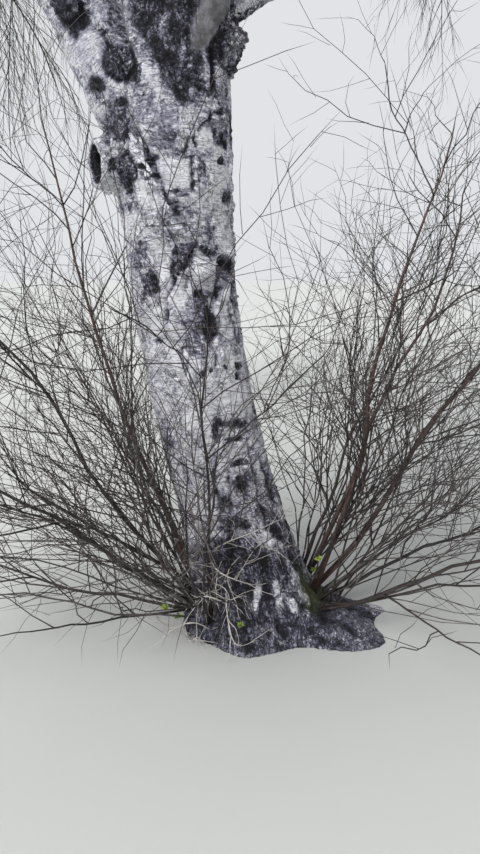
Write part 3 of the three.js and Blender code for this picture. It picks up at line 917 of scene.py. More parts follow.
# The longest root's end is drawn in, and the cut under the trunk is flat
root_end_from, root_end_to = 0.42, 0.6
root_drawn_in = 0.075
root_end = ease(root_end_from, root_end_to, from_axis(skin)[0]) * (skin[:, 2] < 0.3)
skin[:, :2] *= (1 - root_drawn_in * root_end)[:, None]
under = outwards[:, 2] < -0.6
skin[:, 2] = np.where(under & (skin[:, 2] < 0.02), 0, np.maximum(skin[:, 2], 0.0015))


def finish_skin(mesh, corners, **kept):
    """Moves a mesh's corners, draws it smooth, and keeps values at each corner for its material."""
    mesh.vertices.foreach_set("co", corners.ravel())
    mesh.polygons.foreach_set("use_smooth", np.ones(len(mesh.polygons), bool))
    for name, values in kept.items():
        values = np.asarray(values, float)
        kind, field = ("FLOAT_VECTOR", "vector") if values.ndim == 2 else ("FLOAT", "value")
        mesh.attributes.new(name, kind, "POINT").data.foreach_set(field, values.ravel())
    mesh.update()


# A little moss grows above the longest root
moss_right, moss_down = 312, 585
moss = ease(14, 4, np.hypot((right - moss_right) / 1.4, (down - moss_down) / 2.6)) * facing
finish_skin(
    bark_mesh,
    skin,
    grain=grain,
    shade=np.clip(shade, 0, 1),
    rough=np.clip(rough, 0, 1),
    corky=corky * ease(0.75, 0.58, shade),
    calm=calm,
    bare=bare,
    moss=moss,
)


def colour(red, green, blue):
    """A colour as seen on a screen, for a shader."""
    channels = [value / 255 for value in (red, green, blue)]
    return tuple(v / 12.92 if v <= 0.04045 else ((v + 0.055) / 1.055) ** 2.4 for v in channels) + (1.0,)


def add_node(tree, kind, inputs=None, **settings):
    """A node with its settings, and its inputs: each is a value or another node's output."""
    made = tree.nodes.new(kind)
    for key, value in settings.items():
        setattr(made, key, value)
    for key, value in (inputs or {}).items():
        if isinstance(value, bpy.types.NodeSocket):
            tree.links.new(value, made.inputs[key])
        else:
            made.inputs[key].default_value = value
    return made


def stretched(tree, places, stretch):
    return add_node(tree, "ShaderNodeMapping", {"Vector": places, "Scale": stretch}).outputs["Vector"]


def noise_of(tree, places, scale, detail, rough):
    inputs = {"Vector": places, "Scale": scale, "Detail": detail, "Roughness": rough}
    return add_node(tree, "ShaderNodeTexNoise", inputs).outputs[0]


def sums(tree, operation, first, second, third=None):
    inputs = {0: first, 1: second} if third is None else {0: first, 1: second, 2: third}
    return add_node(tree, "ShaderNodeMath", inputs, operation=operation).outputs[0]


def eased(tree, value, low, high, to_low=0.0, to_high=1.0):
    """A smooth rise between two values, or a fall where the first is the higher."""
    inputs = {"Value": value, "From Min": low, "From Max": high, "To Min": to_low, "To Max": to_high}
    return add_node(tree, "ShaderNodeMapRange", inputs, interpolation_type="SMOOTHSTEP").outputs["Result"]


def ramped(tree, value, stops):
    """A colour for each value, between the stops' colours."""
    ramp = add_node(tree, "ShaderNodeValToRGB", {"Fac": value})
    elements = ramp.color_ramp.elements
    while len(elements) < len(stops):
        elements.new(0.5)
    for element, (at, rgb) in zip(elements, stops):
        element.position = at
        element.color = colour(*rgb)
    return ramp.outputs["Color"]


def mixed(tree, share, first, second):
    inputs = {0: share, 6: first, 7: second}
    return add_node(tree, "ShaderNodeMix", inputs, data_type="RGBA").outputs[2]


def new_group(name, inputs, outputs):
    """A shader node group with named inputs and outputs, and its input and output nodes."""
    group = bpy.data.node_groups.new(name, "ShaderNodeTree")
    for label, kind in inputs:
        group.interface.new_socket(label, in_out="INPUT", socket_type=kind)
    for label, kind in outputs:
        group.interface.new_socket(label, in_out="OUTPUT", socket_type=kind)
    return group, group.nodes.new("NodeGroupInput"), group.nodes.new("NodeGroupOutput")


# Birch bark: its shade runs from black, rough bark through mottled lilac grey to white paper with fine
# level lines. Rough bark is cracked into blocks, and cork is furrowed lengthwise. It follows the grain.
number = "NodeSocketFloat"
bark_inputs = [("Grain", "NodeSocketVector")]
bark_inputs += [(label, number) for label in ("Shade", "Rough", "Corky", "Calm")]
bark_outputs = [("Color", "NodeSocketColor"), ("Roughness", number), ("Height", number)]
birch, given, wanted = new_group("birch_bark", bark_inputs, bark_outputs)


def times(first, second):
    return sums(birch, "MULTIPLY", first, second)


def times_plus(first, second, third):
    return sums(birch, "MULTIPLY_ADD", first, second, third)


def larger(first, second):
    return sums(birch, "MAXIMUM", first, second)


def bark_noise(places, stretch, scale, detail, rough):
    return noise_of(birch, stretched(birch, places, stretch), scale, detail, rough)


places = given.outputs["Grain"]
given_rough = given.outputs["Rough"]
given_corky = given.outputs["Corky"]
swirl = add_node(birch, "ShaderNodeTexNoise", {"Vector": places, "Scale": 38.0, "Detail": 3.0})
centred = {0: swirl.outputs["Color"], 1: (0.5, 0.5, 0.5)}
swirl = add_node(birch, "ShaderNodeVectorMath", centred, operation="SUBTRACT").outputs[0]
swirl = add_node(birch, "ShaderNodeVectorMath", {0: swirl, "Scale": 0.014}, operation="SCALE").outputs[0]
swirled = add_node(birch, "ShaderNodeVectorMath", {0: places, 1: swirl}, operation="ADD").outputs[0]
broad_mottle = bark_noise(places, (1, 1, 0.7), 12, 4, 0.6)
rugged = bark_noise(swirled, (1, 1, 0.75), 40, 8, 0.75)
papery = bark_noise(swirled, (1, 1, 2.6), 30, 8, 0.74)
unpapery = larger(given_rough, given_corky)
torn = times_plus(sums(birch, "SUBTRACT", rugged, papery), unpapery, papery)
speckle = bark_noise(swirled, (1, 1, 1.3), 105, 5, 0.78)
level_noise = bark_noise(places, (1, 1, 9), 16, 3, 0.55)
line_fade = noise_of(birch, places, 34, 3, 0.6)
fibres = bark_noise(swirled, (1, 1, 0.16), 110, 5, 0.7)
paper_noise = bark_noise(swirled, (1, 1, 0.62), 17, 7, 0.68)
paper = eased(birch, paper_noise, 0.485, 0.515)


def bark_cells(stretch, scale):
    """A net of cells: a chance number for each cell, and how far each place is from the cell's edge."""
    inputs = {"Vector": stretched(birch, swirled, stretch), "Scale": scale}
    cells = add_node(birch, "ShaderNodeTexVoronoi", inputs)
    parts = add_node(birch, "ShaderNodeSeparateColor", {"Color": cells.outputs["Color"]})
    edges = add_node(birch, "ShaderNodeTexVoronoi", inputs, feature="DISTANCE_TO_EDGE")
    return parts.outputs[0], edges.outputs["Distance"]


flake_chance, flake_edges = bark_cells((1, 1, 1.7), 64.0)
block_chance, block_edges = bark_cells((1, 1, 0.85), 66.0)
furrow_chance, furrow_edges = bark_cells((1, 1, 0.26), 74.0)
lively = times_plus(given.outputs["Calm"], -0.75, 1.0)


def varied(shade, spread, amount, middle=0.5):
    """The shade with a spread about its middle added, less of it where the bark is calm."""
    off = sums(birch, "SUBTRACT", spread, middle)
    amount = times(lively, amount)
    return times_plus(off, amount, shade)


tone = times_plus(given.outputs["Shade"], 1.14, 0.05)
tone = times_plus(unpapery, -0.09, tone)
tone = varied(tone, broad_mottle, 0.4)
tone = varied(tone, torn, 1.5)
tone = varied(tone, speckle, 1.55)
tone = varied(tone, flake_chance, 0.2)
tone = varied(tone, paper, 0.2)
tone = varied(tone, times(block_chance, given_rough), 0.22, 0.25)
tone = varied(tone, times(furrow_chance, given_corky), 0.25, 0.25)
fibre_share = times_plus(given_corky, 0.9, 0.3)
tone = varied(tone, fibres, fibre_share)
bark_stops = [
    (0.0, (16, 15, 19)),
    (0.1, (32, 30, 40)),
    (0.2, (58, 57, 71)),
    (0.3, (90, 89, 105)),
    (0.4, (122, 121, 137)),
    (0.49, (153, 151, 166)),
    (0.57, (181, 180, 194)),
    (0.65, (216, 215, 226)),
    (0.8, (244, 243, 248)),
]
bark_colour = ramped(birch, tone, bark_stops)


def off_middle(value):
    """How far a noise is from its middle, which it crosses along lines."""
    off = sums(birch, "SUBTRACT", value, 0.5)
    return add_node(birch, "ShaderNodeMath", {0: off}, operation="ABSOLUTE").outputs[0]


near_line = off_middle(level_noise)
near_tear = off_middle(paper_noise)
near_crease = off_middle(bark_noise(swirled, (1, 1, 0.42), 19, 5, 0.66))
level_line = times(eased(birch, near_line, 0.045, 0.0), eased(birch, line_fade, 0.38, 0.52))
level_line = times(level_line, eased(birch, tone, 0.4, 0.62, 0.0, 0.8))
bark_colour = mixed(birch, level_line, bark_colour, colour(92, 88, 102))
flaked = times(eased(birch, flake_edges, 0.06, 0.0), eased(birch, torn, 0.48, 0.38))
flaked = times(times(flaked, lively), 0.6)
creased = times(eased(birch, near_crease, 0.022, 0.004), lively)
creased = times(creased, eased(birch, broad_mottle, 0.58, 0.44))
cracked = times(eased(birch, block_edges, 0.15, 0.02), given_rough)
furrowed = times(eased(birch, furrow_edges, 0.14, 0.02), given_corky)
torn_edge = times(eased(birch, near_tear, 0.014, 0.003), lively)
torn_edge = times(torn_edge, eased(birch, line_fade, 0.54, 0.4, 0.0, 0.55))
gaps = larger(flaked, creased)
gaps = larger(gaps, torn_edge)
gaps = larger(larger(cracked, furrowed), gaps)
bark_colour = mixed(birch, times(gaps, 0.75), bark_colour, colour(20, 18, 24))
bump = times_plus(torn, 1.2, times(speckle, 0.7))
bump = times_plus(flake_chance, 0.16, bump)
bump = times_plus(paper, 0.22, bump)
bump = times(bump, lively)
bump = times_plus(gaps, -0.6, bump)
bump = times_plus(level_line, -0.2, bump)
birch.links.new(bark_colour, wanted.inputs["Color"])
birch.links.new(eased(birch, tone, 0.3, 0.8, 0.9, 0.62), wanted.inputs["Roughness"])
birch.links.new(bump, wanted.inputs["Height"])


def new_material(name):
    """A material with its tree and its main shader."""
    material = bpy.data.materials.new(name)
    material.use_nodes = True
    return material, material.node_tree, material.node_tree.nodes["Principled BSDF"]


def attribute_of(tree, name, output="Fac"):
    return add_node(tree, "ShaderNodeAttribute", attribute_name=name).outputs[output]


def bumped(tree, shader, height, strength, depth):
    bump = add_node(tree, "ShaderNodeBump", {"Strength": strength, "Distance": depth, "Height": height})
    tree.links.new(bump.outputs["Normal"], shader.inputs["Normal"])


def covered(tree, under, where, scale, stops):
    """A mottled colour over another, where the mesh's own value says."""
    mottled = ramped(tree, noise_of(tree, attribute_of(tree, "grain", "Vector"), scale, 4, 0.6), stops)
    return mixed(tree, attribute_of(tree, where), under, mottled)


def bark_material(name, labels, strength, depth, cover=None, calm=0.0):
    """Birch bark by the values that its mesh keeps under these labels, with its relief and its cover."""
    material, tree, shader = new_material(name)
    bark = add_node(tree, "ShaderNodeGroup", {"Calm": calm}, node_tree=birch)
    tree.links.new(attribute_of(tree, "grain", "Vector"), bark.inputs["Grain"])
    for label in labels:
        tree.links.new(attribute_of(tree, label.lower()), bark.inputs[label])
    shown = cover(tree, bark.outputs["Color"]) if cover else bark.outputs["Color"]
    tree.links.new(shown, shader.inputs["Base Color"])
    tree.links.new(bark.outputs["Roughness"], shader.inputs["Roughness"])
    bumped(tree, shader, bark.outputs["Height"], strength, depth)
    return material


def grey_and_moss(tree, under):
    """The front limb's smooth grey bark, and the moss at the foot."""
    greys = [(0.35, (76, 75, 77)), (0.5, (104, 103, 106)), (0.65, (132, 131, 136))]
    painted = covered(tree, under, "bare", 30, greys)
    return mixed(tree, sums(tree, "MULTIPLY", attribute_of(tree, "moss"), 0.7), painted, colour(86, 92, 52))


bark_labels = ["Shade", "Rough", "Corky", "Calm"]
bark_mesh.materials.append(bark_material("trunk_bark", bark_labels, 1.0, 0.007, grey_and_moss))


def new_piece(name, mesh, *replaced):
    """An object that rides with the tree, and stands for these nodes."""
    mesh.name = name
    piece = new_object(name, mesh)
    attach(piece, "root")
    if replaced:
        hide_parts(*replaced)
    return piece


trunk_piece = new_piece("trunk_bark", bark_mesh, "trunk")

# The curls of bark
# Old birch paper splits and peels: thin flakes and splinters, still held along one edge, curl away from the
# trunk. The largest lie along the long fold and at the trunk's sides.
chips = [  # pixel, length and width in metres, turn in degrees
    (136, 137, 0.04, 0.017, -50),
    (142, 141, 0.026, 0.012, -70),
    (137, 148, 0.036, 0.015, -40),
    (144, 153, 0.03, 0.011, -62),
    (146, 163, 0.085, 0.015, -52),
    (140, 160, 0.026, 0.013, -30),
    (147, 172, 0.028, 0.013, -30),
    (156, 181, 0.03, 0.01, -58),
    (160, 192, 0.03, 0.009, -60),
    (168, 203, 0.03, 0.008, -50),
]
splits = [  # pixel, length and width in metres, turn in degrees, how far it curls
    (121, 217, 0.03, 0.013, -40, 1.0),
    (130, 227, 0.035, 0.012, -30, 0.9),
    (139, 233, 0.03, 0.011, -20, 1.0),
    (176, 227, 0.04, 0.011, 10, 0.8),
    (184, 232, 0.028, 0.01, -20, 1.0),
    (181, 193, 0.04, 0.012, 12, 0.8),
    (168, 187, 0.03, 0.01, -25, 0.8),
    (224, 136, 0.04, 0.02, 80, 1.4),
    (227, 152, 0.036, 0.018, 85, 1.6),
    (229, 168, 0.04, 0.02, 80, 1.2),
    (231, 187, 0.045, 0.016, 85, 1.6),
    (232, 206, 0.03, 0.018, 80, 1.4),
    (104, 202, 0.03, 0.016, -60, 1.5),
    (110, 212, 0.034, 0.018, -50, 1.6),
    (157, 262, 0.05, 0.016, -80, 1.2),
    (166, 284, 0.044, 0.016, 80, 1.2),
    (172, 246, 0.03, 0.014, 60, 1.4),
    (158, 300, 0.04, 0.016, 85, 1.2),
    (181, 352, 0.045, 0.016, 80, 1.4),
    (187, 368, 0.04, 0.016, -75, 1.3),
    (178, 380, 0.03, 0.016, 5, 1.6),
    (222, 355, 0.05, 0.014, 85, 1.1),
    (235, 330, 0.05, 0.014, 85, 1.2),
    (204, 262, 0.04, 0.012, 5, 1.4),
]
chance_curls = 150
curl_grid = (9, 5)
small_curl_grid = (5, 3)
curl_thickness = 0.0016
curl_lift = 0.001
chip_thickness = 0.006
chip_lift = 0.011
curl_chances = np.random.default_rng(12)

# Where paper may curl, and where the view shows the skin now that it has its relief
papery_bark = (rough < 0.4) & (corky < 0.4) & (calm < 0.3)
curl_corners = np.nonzero(papery_bark & (grain[:, 2] > 0.55) & (to_joint > 0.03))[0]
right, down = seen_at(skin)


def bark_behind(at_right, at_down):
    """The corner of the bark that the view shows at a pixel, or nearest to it."""
    return int(np.argmin(np.hypot(right - at_right, down - at_down) + 500 * (facing < 0.15)))


def curl(grid, corner, length, width, turn, bend, lift=curl_lift, thickness=curl_thickness):
    """A thin flake that is held along one edge and curls away from the bark at the other."""
    out = outwards[corner]
    rise = unit(up - out * out[2])
    side = np.cross(rise, out)
    along = side * math.cos(math.radians(turn)) + rise * math.sin(math.radians(turn))
    beside = np.cross(along, out)
    shape = bmesh.new()
    bmesh.ops.create_grid(shape, x_segments=grid[0], y_segments=grid[1], size=0.5)
    chance = curl_chances.random()
    for point in shape.verts:
        far = point.co.x
        ragged_edge = 1 + 0.35 * noise.noise((8 * far + 31 * chance, 5 * chance, 0))
        reach = width * (0.45 + 0.55 * math.cos(math.pi * far)) * ragged_edge
        angle = bend * (point.co.y + 0.5)
        away = reach / bend * (1 - math.cos(angle)) + lift
        across = reach / bend * math.sin(angle) - width / 3
        spot = skin[corner] + along * far * length + beside * across + out * away
        point.co = spot + out * 0.003 * noise.noise((20 * far, 9 * chance, 3))
    bmesh.ops.solidify(shape, geom=shape.faces[:], thickness=thickness)
    return shape


curl_shapes = []
curl_shades = []


def keep_curl(shape, flake_shade):
    curl_shapes.append(shape)
    curl_shades.extend([float(flake_shade)] * len(shape.verts))


for at_right, at_down, *size in splits:
    corner = bark_behind(at_right, at_down)
    shape = curl(curl_grid, corner, *size)
    keep_curl(shape, np.clip(shade[corner] + curl_chances.uniform(-0.1, 0.1), 0.3, 0.56))
for at_right, at_down, *size in chips:
    shape = curl(curl_grid, bark_behind(at_right, at_down), *size, 0.3, chip_lift, chip_thickness)
    keep_curl(shape, curl_chances.uniform(0.55, 0.72))
for corner in curl_chances.choice(curl_corners, chance_curls, replace=False):
    length = curl_chances.uniform(0.014, 0.04)
    width = length * curl_chances.uniform(0.25, 0.4)
    turn = curl_chances.normal(0, 25) + (90 if curl_chances.random() < 0.4 else 0)
    shape = curl(small_curl_grid, corner, length, width, turn, curl_chances.uniform(0.4, 1.3))
    keep_curl(shape, np.clip(shade[corner] + curl_chances.uniform(-0.15, 0.06), 0.25, 0.5))
curl_mesh = joined(curl_shapes, "curls")
corners, _ = corners_and_normals(curl_mesh)
finish_skin(curl_mesh, corners, grain=corners, shade=curl_shades)
curl_mesh.materials.append(bark_material("curled_paper", ["Shade"], 0.8, 0.002, calm=0.5))
curl_piece = new_piece("bark_curls", curl_mesh)

# The limbs
# Five limbs rise out of the fork and bend up into the crown. Their bark runs on from the trunk's, banded
# and scarred below, smoother and greyer above, and brown where they thin out.
limb_sides = 24
limb_inset = 0.93  # of its thickness, where a limb starts inside the trunk's skin
limb_starts_under = 0.12  # the top of the limbs' feet
widens_under = 0.04  # that top it starts to widen to its own thickness,
widens_over = 0.05  # and it ends so far over it


def shape_corners(shape):
    return np.array([corner.co for corner in shape.verts])


def nearest_radii(corners, points, radii):
    """The radius at the point of a line that is nearest to each corner."""
    return radii[np.argmin(np.linalg.norm(corners[:, None] - points, axis=2), axis=1)]


def limb_skin(name, parts, rough):
    """One mesh of limbs with its relief. A part is a limb's shape, and for each of its corners the place
    in its grain and its thickness there."""
    shapes, grains, thickness = zip(*parts)
    mesh = joined(shapes, name)
    grain = np.vstack(grains)
    thickness = np.concatenate(thickness)
    corners, away = corners_and_normals(mesh)
    broad = grainy(grain, 7)
    middling = grainy(grain, 22)
    relief = 0.09 * thickness * broad + 0.05 * thickness * middling + 0.02 * thickness * grainy(grain, 58)
    darkened = np.clip(rough + ease(0.1, 0.5, grainy(grain, 4, (1, 1, 0.6)) + 0.4 * middling), 0, 1)
    finish_skin(
        mesh,
        corners + away * relief[:, None],
        grain=grain,
        shade=0.6 - 0.4 * darkened + 0.2 * broad,
        rough=darkened,
        thin=ease(0.05, 0.018, thickness),
    )
    return mesh


def brown_where_thin(tree, under):
    browns = [(0.35, (52, 42, 40)), (0.5, (78, 66, 62)), (0.65, (106, 94, 90))]
    return covered(tree, under, "thin", 60, browns)


limb_parts = []
for name in limbs:
    points, radii = limb_lines[name]
    start = int(np.argmax(points[:, 2] > limb_feet_top - limb_starts_under))
    out = ease(limb_feet_top - widens_under, limb_feet_top + widens_over, points[:, 2])
    inset = limb_inset + (1 - limb_inset) * out
    shape = stem_along(points[start:], (radii * inset)[start:], limb_sides)
    corners = shape_corners(shape)
    thickness = nearest_radii(corners, points[::4], radii[::4])
    limb_parts.append((shape, limb_place(name, corners)[1], thickness))
limb_mesh = limb_skin("limbs", limb_parts, 0.0)
limb_material = bark_material("limb_bark", ["Shade", "Rough"], 0.8, 0.004, brown_where_thin)
limb_mesh.materials.append(limb_material)
limb_piece = new_piece("limbs_bark", limb_mesh, *["limb_" + name for name in limbs])

# The side boughs
# Boughs leave the limbs one after another, turned round them, and arch outwards to where the hanging
# twigs begin. Each swells at its foot, where it grows out of its limb.
boughs = {
    "left": dict(count=3, low=0.36, high=0.84),
    "centre": dict(count=7, low=0.3, high=0.93, first_turn=65),
    "right": dict(count=3, low=0.34, high=0.84),
    "front": dict(count=2, low=0.42, high=0.8),
    "back": dict(count=3, low=0.34, high=0.84),
}
golden_angle = 137.5
bough_seed = 40
bough_fan = 74
bough_length = 1.75
bough_shortening = 0.42
bough_rise = 0.4
bough_rise_more = 0.6
bough_leave = (0.34, 0.62)  # out and up, of its reach and rise
bough_arrive = (0.68, 0.95)
bough_thickness = 0.62  # of its limb
bough_taper = 0.8
bough_tip = 0.018
bough_sway = 0.035
bough_steps = 5
bough_fine_steps = 60
bough_sides = 14
bough_foot_swell = 0.45
bough_foot_length = 0.07
bough_rough = 0.15  # more than the limbs

cad_limbs = {name: limb_line(name, limb_steps) for name in limbs}


def part_way(values, share):
    """The point or the number at a share of the steps along some."""
    place = share * (len(values) - 1)
    i = min(int(place), len(values) - 2)
    return values[i] + (values[i + 1] - values[i]) * (place - i)


def bough_line(limb, k, steps):
    """A side bough's points and its radius at each."""
    rule = boughs[limb]
    limb_points, limb_radii = cad_limbs[limb]
    climb = k / (rule["count"] - 1)
    share = rule["low"] + (rule["high"] - rule["low"]) * climb
    fan = bough_fan if k % 2 else -bough_fan
    turn = rule["first_turn"] + k * golden_angle if "first_turn" in rule else fan
    out = level(limbs[limb]["azimuth"] + turn)
    length = bough_length * (1 - bough_shortening * climb)
    rise = (bough_rise + bough_rise_more * climb) * length
    foot = part_way(limb_points, share)
    shares = (bough_leave, bough_arrive, (1, 1))
    ends = [foot + out * go_out * length + up * go_up * rise for go_out, go_up in shares]
    points = bend_points(foot, *ends, steps, bough_sway, bough_seed + k)
    thick = bough_thickness * part_way(limb_radii, share)
    radii = thick + (bough_tip - thick) * np.linspace(0, 1, steps + 1) ** bough_taper
    return points, radii


bough_names = [(limb, k) for limb in limbs for k in range(boughs[limb]["count"])]
bough_parts = []
for limb, k in bough_names:
    points, radii = bough_line(limb, k, bough_fine_steps)
    out_of_limb = lengths_along(points) - part_way(cad_limbs[limb][1], 0.5)
    swollen = radii * (1 + bough_foot_swell * np.exp(-np.maximum(out_of_limb, 0) / bough_foot_length))
    shape = stem_along(points, swollen, bough_sides)
    corners = shape_corners(shape)
    line = points[::3], radii[::3]
    bough_parts.append((shape, from_limb(corners, *line)[1] + (k, 0, 3 * k), nearest_radii(corners, *line)))
bough_mesh = limb_skin("boughs", bough_parts, bough_rough)
bough_mesh.materials.append(limb_material)
bough_nodes = [f"bough_{limb}_{k + 1}" for limb, k in bough_names]
bough_piece = new_piece("boughs_bark", bough_mesh, *bough_nodes)

# The crown's twigs
# From the tip of each limb and bough a stem runs on to the crown's outline. It bears arms, the arms bear
# hanging strands, and all of them carry sprays of the thin, dark, bare twigs that make a birch weep.
tree_height = 13.0
crown_radius = 4.35
crown_waist = 5.6
crown_power = 1.45
skirt_pull = 0.1
hem_outside = 2.1
hem_inside = 3.1
stem_reach = 0.94
longest_stem = 3.0
shortest_stem = 0.9
stem_root = 0.04
seat_gap = 0.0003
turn_spread = 40
length_spread = 0.3
length_at_foot = 1.1
length_loss = 0.45
twig_thickness = 0.75
twig_clearance = 0.014
shortest_twig = 0.4
probe_step = 0.05
crown_seed = 101
turn_per_seed = 31
crown_stem_rule = dict(steps=5, bend=0.45, wander=0.12, taper=0.7)
crown_arm_rule = dict(
    spacing=0.42, low=0.16, high=0.96, angle=56,
    length=1.5, bend=0.75, wander=0.16, steps=3, thick=0.013, thin=0.007,
)
crown_strand_rule = dict(
    spacing=0.62, low=0.3, high=0.96, angle=48,
    length=1.35, bend=3.2, wander=0.12, steps=3, thick=0.007, thin=0.0035,
)


def turned(ways, axes, degrees):
    """Each way turned about its axis."""
    angle = np.radians(np.asarray(degrees, float))[..., None]
    along = np.sum(axes * ways, axis=-1, keepdims=True)
    return ways * np.cos(angle) + np.cross(axes, ways) * np.sin(angle) + axes * along * (1 - np.cos(angle))


def turned_away(ways, angle, turn):
    """Each way turned from itself by an angle, to the side that a turn round it gives."""
    other = np.where(abs(ways[..., 2:]) > 0.95, level(0), up)
    across = turned(unit(np.cross(ways, other)), ways, turn)
    return unit(turned(ways, across, angle))


def inside_crown(places):
    """Which places lie inside the crown's outline and above its hem."""
    height = places[:, 2]
    high = (height - crown_waist) / (tree_height - crown_waist)
    low = (crown_waist - height) / (crown_waist - hem_outside)
    dome = np.maximum(0, 1 - np.maximum(high, 0) ** crown_power) ** (1 / crown_power)
    width = np.where(high > 0, dome, 1 - skirt_pull * low * low)
    share = np.hypot(places[:, 0] - crown_axis[0], places[:, 1] - crown_axis[1]) / crown_radius
    hem = hem_inside + (hem_outside - hem_inside) * np.minimum(1, share)
    return (share < width) & (height > hem)


def grow_twig(start, heading, rule, length, random, allowed):
    """A twig's points: it bends down or up, wanders, and stops where it may not go."""
    points = [start]
    way = heading.copy()
    steps = rule["steps"]
    for _ in range(steps):
        way[2] -= rule["bend"] / steps
        way[0] += (random() - 0.5) * 2 * rule["wander"]
        way[1] += (random() - 0.5) * 2 * rule["wander"]
        way = unit(way)
        reached = points[-1] + way * (length / steps)
        if not allowed(np.array((reached, (reached + points[-1]) / 2))):
            break
        points.append(reached)
    return np.array(points)


def stretches_of(lines):
    """The starts, the ways and the squared lengths of all stretches of some lines, and each one's line."""
    starts = np.vstack([points[:-1] for points in lines])
    ways = np.vstack([points[1:] - points[:-1] for points in lines])
    owner = np.concatenate([[i] * (len(points) - 1) for i, points in enumerate(lines)])
    return starts, ways, np.sum(ways * ways, axis=1), owner


def to_stretches(places, stretches):
    """How far each place is from each stretch."""
    starts, ways, squares, _ = stretches
    off = places[:, None] - starts
    share = np.clip(np.sum(off * ways, axis=2) / squares, 0, 1)
    return np.linalg.norm(off - share[..., None] * ways, axis=2)


def child_twigs(parent, rule, random, allowed):
    """Twigs along a line: each with its points, its radii, its turn, and where on its parent it stands."""
    grown = []
    points = parent["points"]
    total = np.sum(np.linalg.norm(np.diff(points, axis=0), axis=1))
    count = max(1, math.floor(total / rule["spacing"] + 0.5))
    for k in range(count):
        share = rule["low"] + (rule["high"] - rule["low"]) * (k + 0.5 * random()) / count
        turn = parent["turn"] + k * golden_angle + turn_spread * random()
        i = min(int(share * (len(points) - 1)), len(points) - 2)
        heading = turned_away(unit(points[i + 1] - points[i]), rule["angle"], turn)
        chance = 1 + length_spread * (random() - 0.5)
        intended = rule["length"] * (length_at_foot - length_loss * share) * chance
        twig = grow_twig(part_way(points, share), heading, rule, intended, random, allowed)
        if len(twig) - 1 >= rule["steps"] * shortest_twig:
            thick = min(rule["thick"], twig_thickness * part_way(parent["radii"], share))
            radii = np.linspace(thick, rule["thin"], len(twig))
            grown.append(dict(points=twig, radii=radii, turn=turn + 90, parent=parent, share=share))
    return grown


def grown_mass(stem, arm_rule, strand_rule, allowed):
    """A mass of twigs: its stem, its arms, and their strands."""
    random = seeded(stem["seed"])
    arms = child_twigs(stem, arm_rule, random, allowed)
    strands = [strand for arm in arms for strand in child_twigs(arm, strand_rule, random, allowed)]
    return [stem] + arms + strands


def stem_radii(points, thick, taper):
    return thick * (1 - taper * np.arange(len(points)) / (len(points) - 1))


# The limb or bough that carries each mass: its points and radii
carriers = {"crown_" + name: cad_limbs[name] for name in limbs}
for limb, k in bough_names:
    carriers[f"crown_{limb}_{k + 1}"] = bough_line(limb, k, bough_steps)


def crown_stem(name, seed):
    """The stem of a mass, from the tip of its limb or bough to just inside the crown's outline."""
    points, radii = carriers[name]
    heading = unit(points[-1] - points[-2])
    start = points[-1] + heading * seat_gap
    room = 0
    while inside_crown((start + heading * room)[None])[0] and room < longest_stem / stem_reach:
        room += probe_step
    length = max(room * stem_reach, shortest_stem)
    root = start + heading * stem_root
    grown = grow_twig(root, heading, crown_stem_rule, length, seeded(seed), lambda places: True)
    points = np.vstack((start, grown))
    thickness = stem_radii(points, radii[-1], crown_stem_rule["taper"])
    return dict(name=name, points=points, radii=thickness, seed=seed, turn=turn_per_seed * seed)


crown_stems = [crown_stem(name, crown_seed + i) for i, name in enumerate(carriers)]

# The shoots' stems are told here, because no twig of the crown may enter their space
shoots = [
    (3, 0.12, 2, 38, 2.15, 0.017),
    (16, 0.13, 24, 27, 2.15, 0.014),
    (-9, 0.125, -14, 17, 2.1, 0.014),
    (-17, 0.09, -34, 58, 1.5, 0.011),
    (30, 0.11, 58, 42, 1.7, 0.011),
    (10, 0.075, 8, 70, 1.6, 0.011),
    (176, 0.13, 174, 20, 2.05, 0.013),
    (190, 0.125, 188, 38, 2.05, 0.012),
    (205, 0.11, 206, 52, 1.75, 0.011),
    (197, 0.07, 194, 74, 1.5, 0.009),
    (160, 0.11, 144, 44, 1.7, 0.011),
    (227, 0.09, 268, 21, 1.5, 0.008),
    (214, 0.08, 236, 34, 1.0, 0.008),
]
shoot_seed = 700
turn_per_shoot = 50
shoot_stem_rule = dict(steps=5, bend=-0.15, wander=0.13, taper=0.78)


def shoot_stem(place, seed):
    """A shoot's stem, which starts just inside the root flare."""
    azimuth, height, towards, lean, length, thick = place
    start = on_trunk(azimuth, height, 2 * thick)
    heading = leaning(lean, towards)
    points = grow_twig(start, heading, shoot_stem_rule, length, seeded(seed), lambda places: True)
    return dict(points=points, radii=stem_radii(points, thick, shoot_stem_rule["taper"]))


shoot_stems = [shoot_stem(place, shoot_seed + i) for i, place in enumerate(shoots)]
all_stems = crown_stems + shoot_stems
stem_stretches = stretches_of([stem["points"] for stem in all_stems])
carrier_stretches = stretches_of([points for points, _ in carriers.values()])
carrier_radii = np.concatenate([radii[:-1] for _, radii in carriers.values()])


def in_own_space(places, owner):
    """Which places are nearer to their own stem than to any other."""
    off = to_stretches(places, stem_stretches)
    own = stem_stretches[3] == owner
    return off[:, own].min(axis=1) + 2 * twig_clearance < off[:, ~own].min(axis=1)


def clear_of_limbs(places):
    return np.all(to_stretches(places, carrier_stretches) > carrier_radii + twig_clearance, axis=1)


def room_of(owner, inside):
    """A test of whether some places are inside, in a mass's own space, and clear of the limbs."""

    def allowed(places):
        return (inside(places) & in_own_space(places, owner) & clear_of_limbs(places)).all()

    return allowed


masses = {}
for owner, stem in enumerate(crown_stems):
    room = room_of(owner, inside_crown)
    masses[stem["name"]] = grown_mass(stem, crown_arm_rule, crown_strand_rule, room)


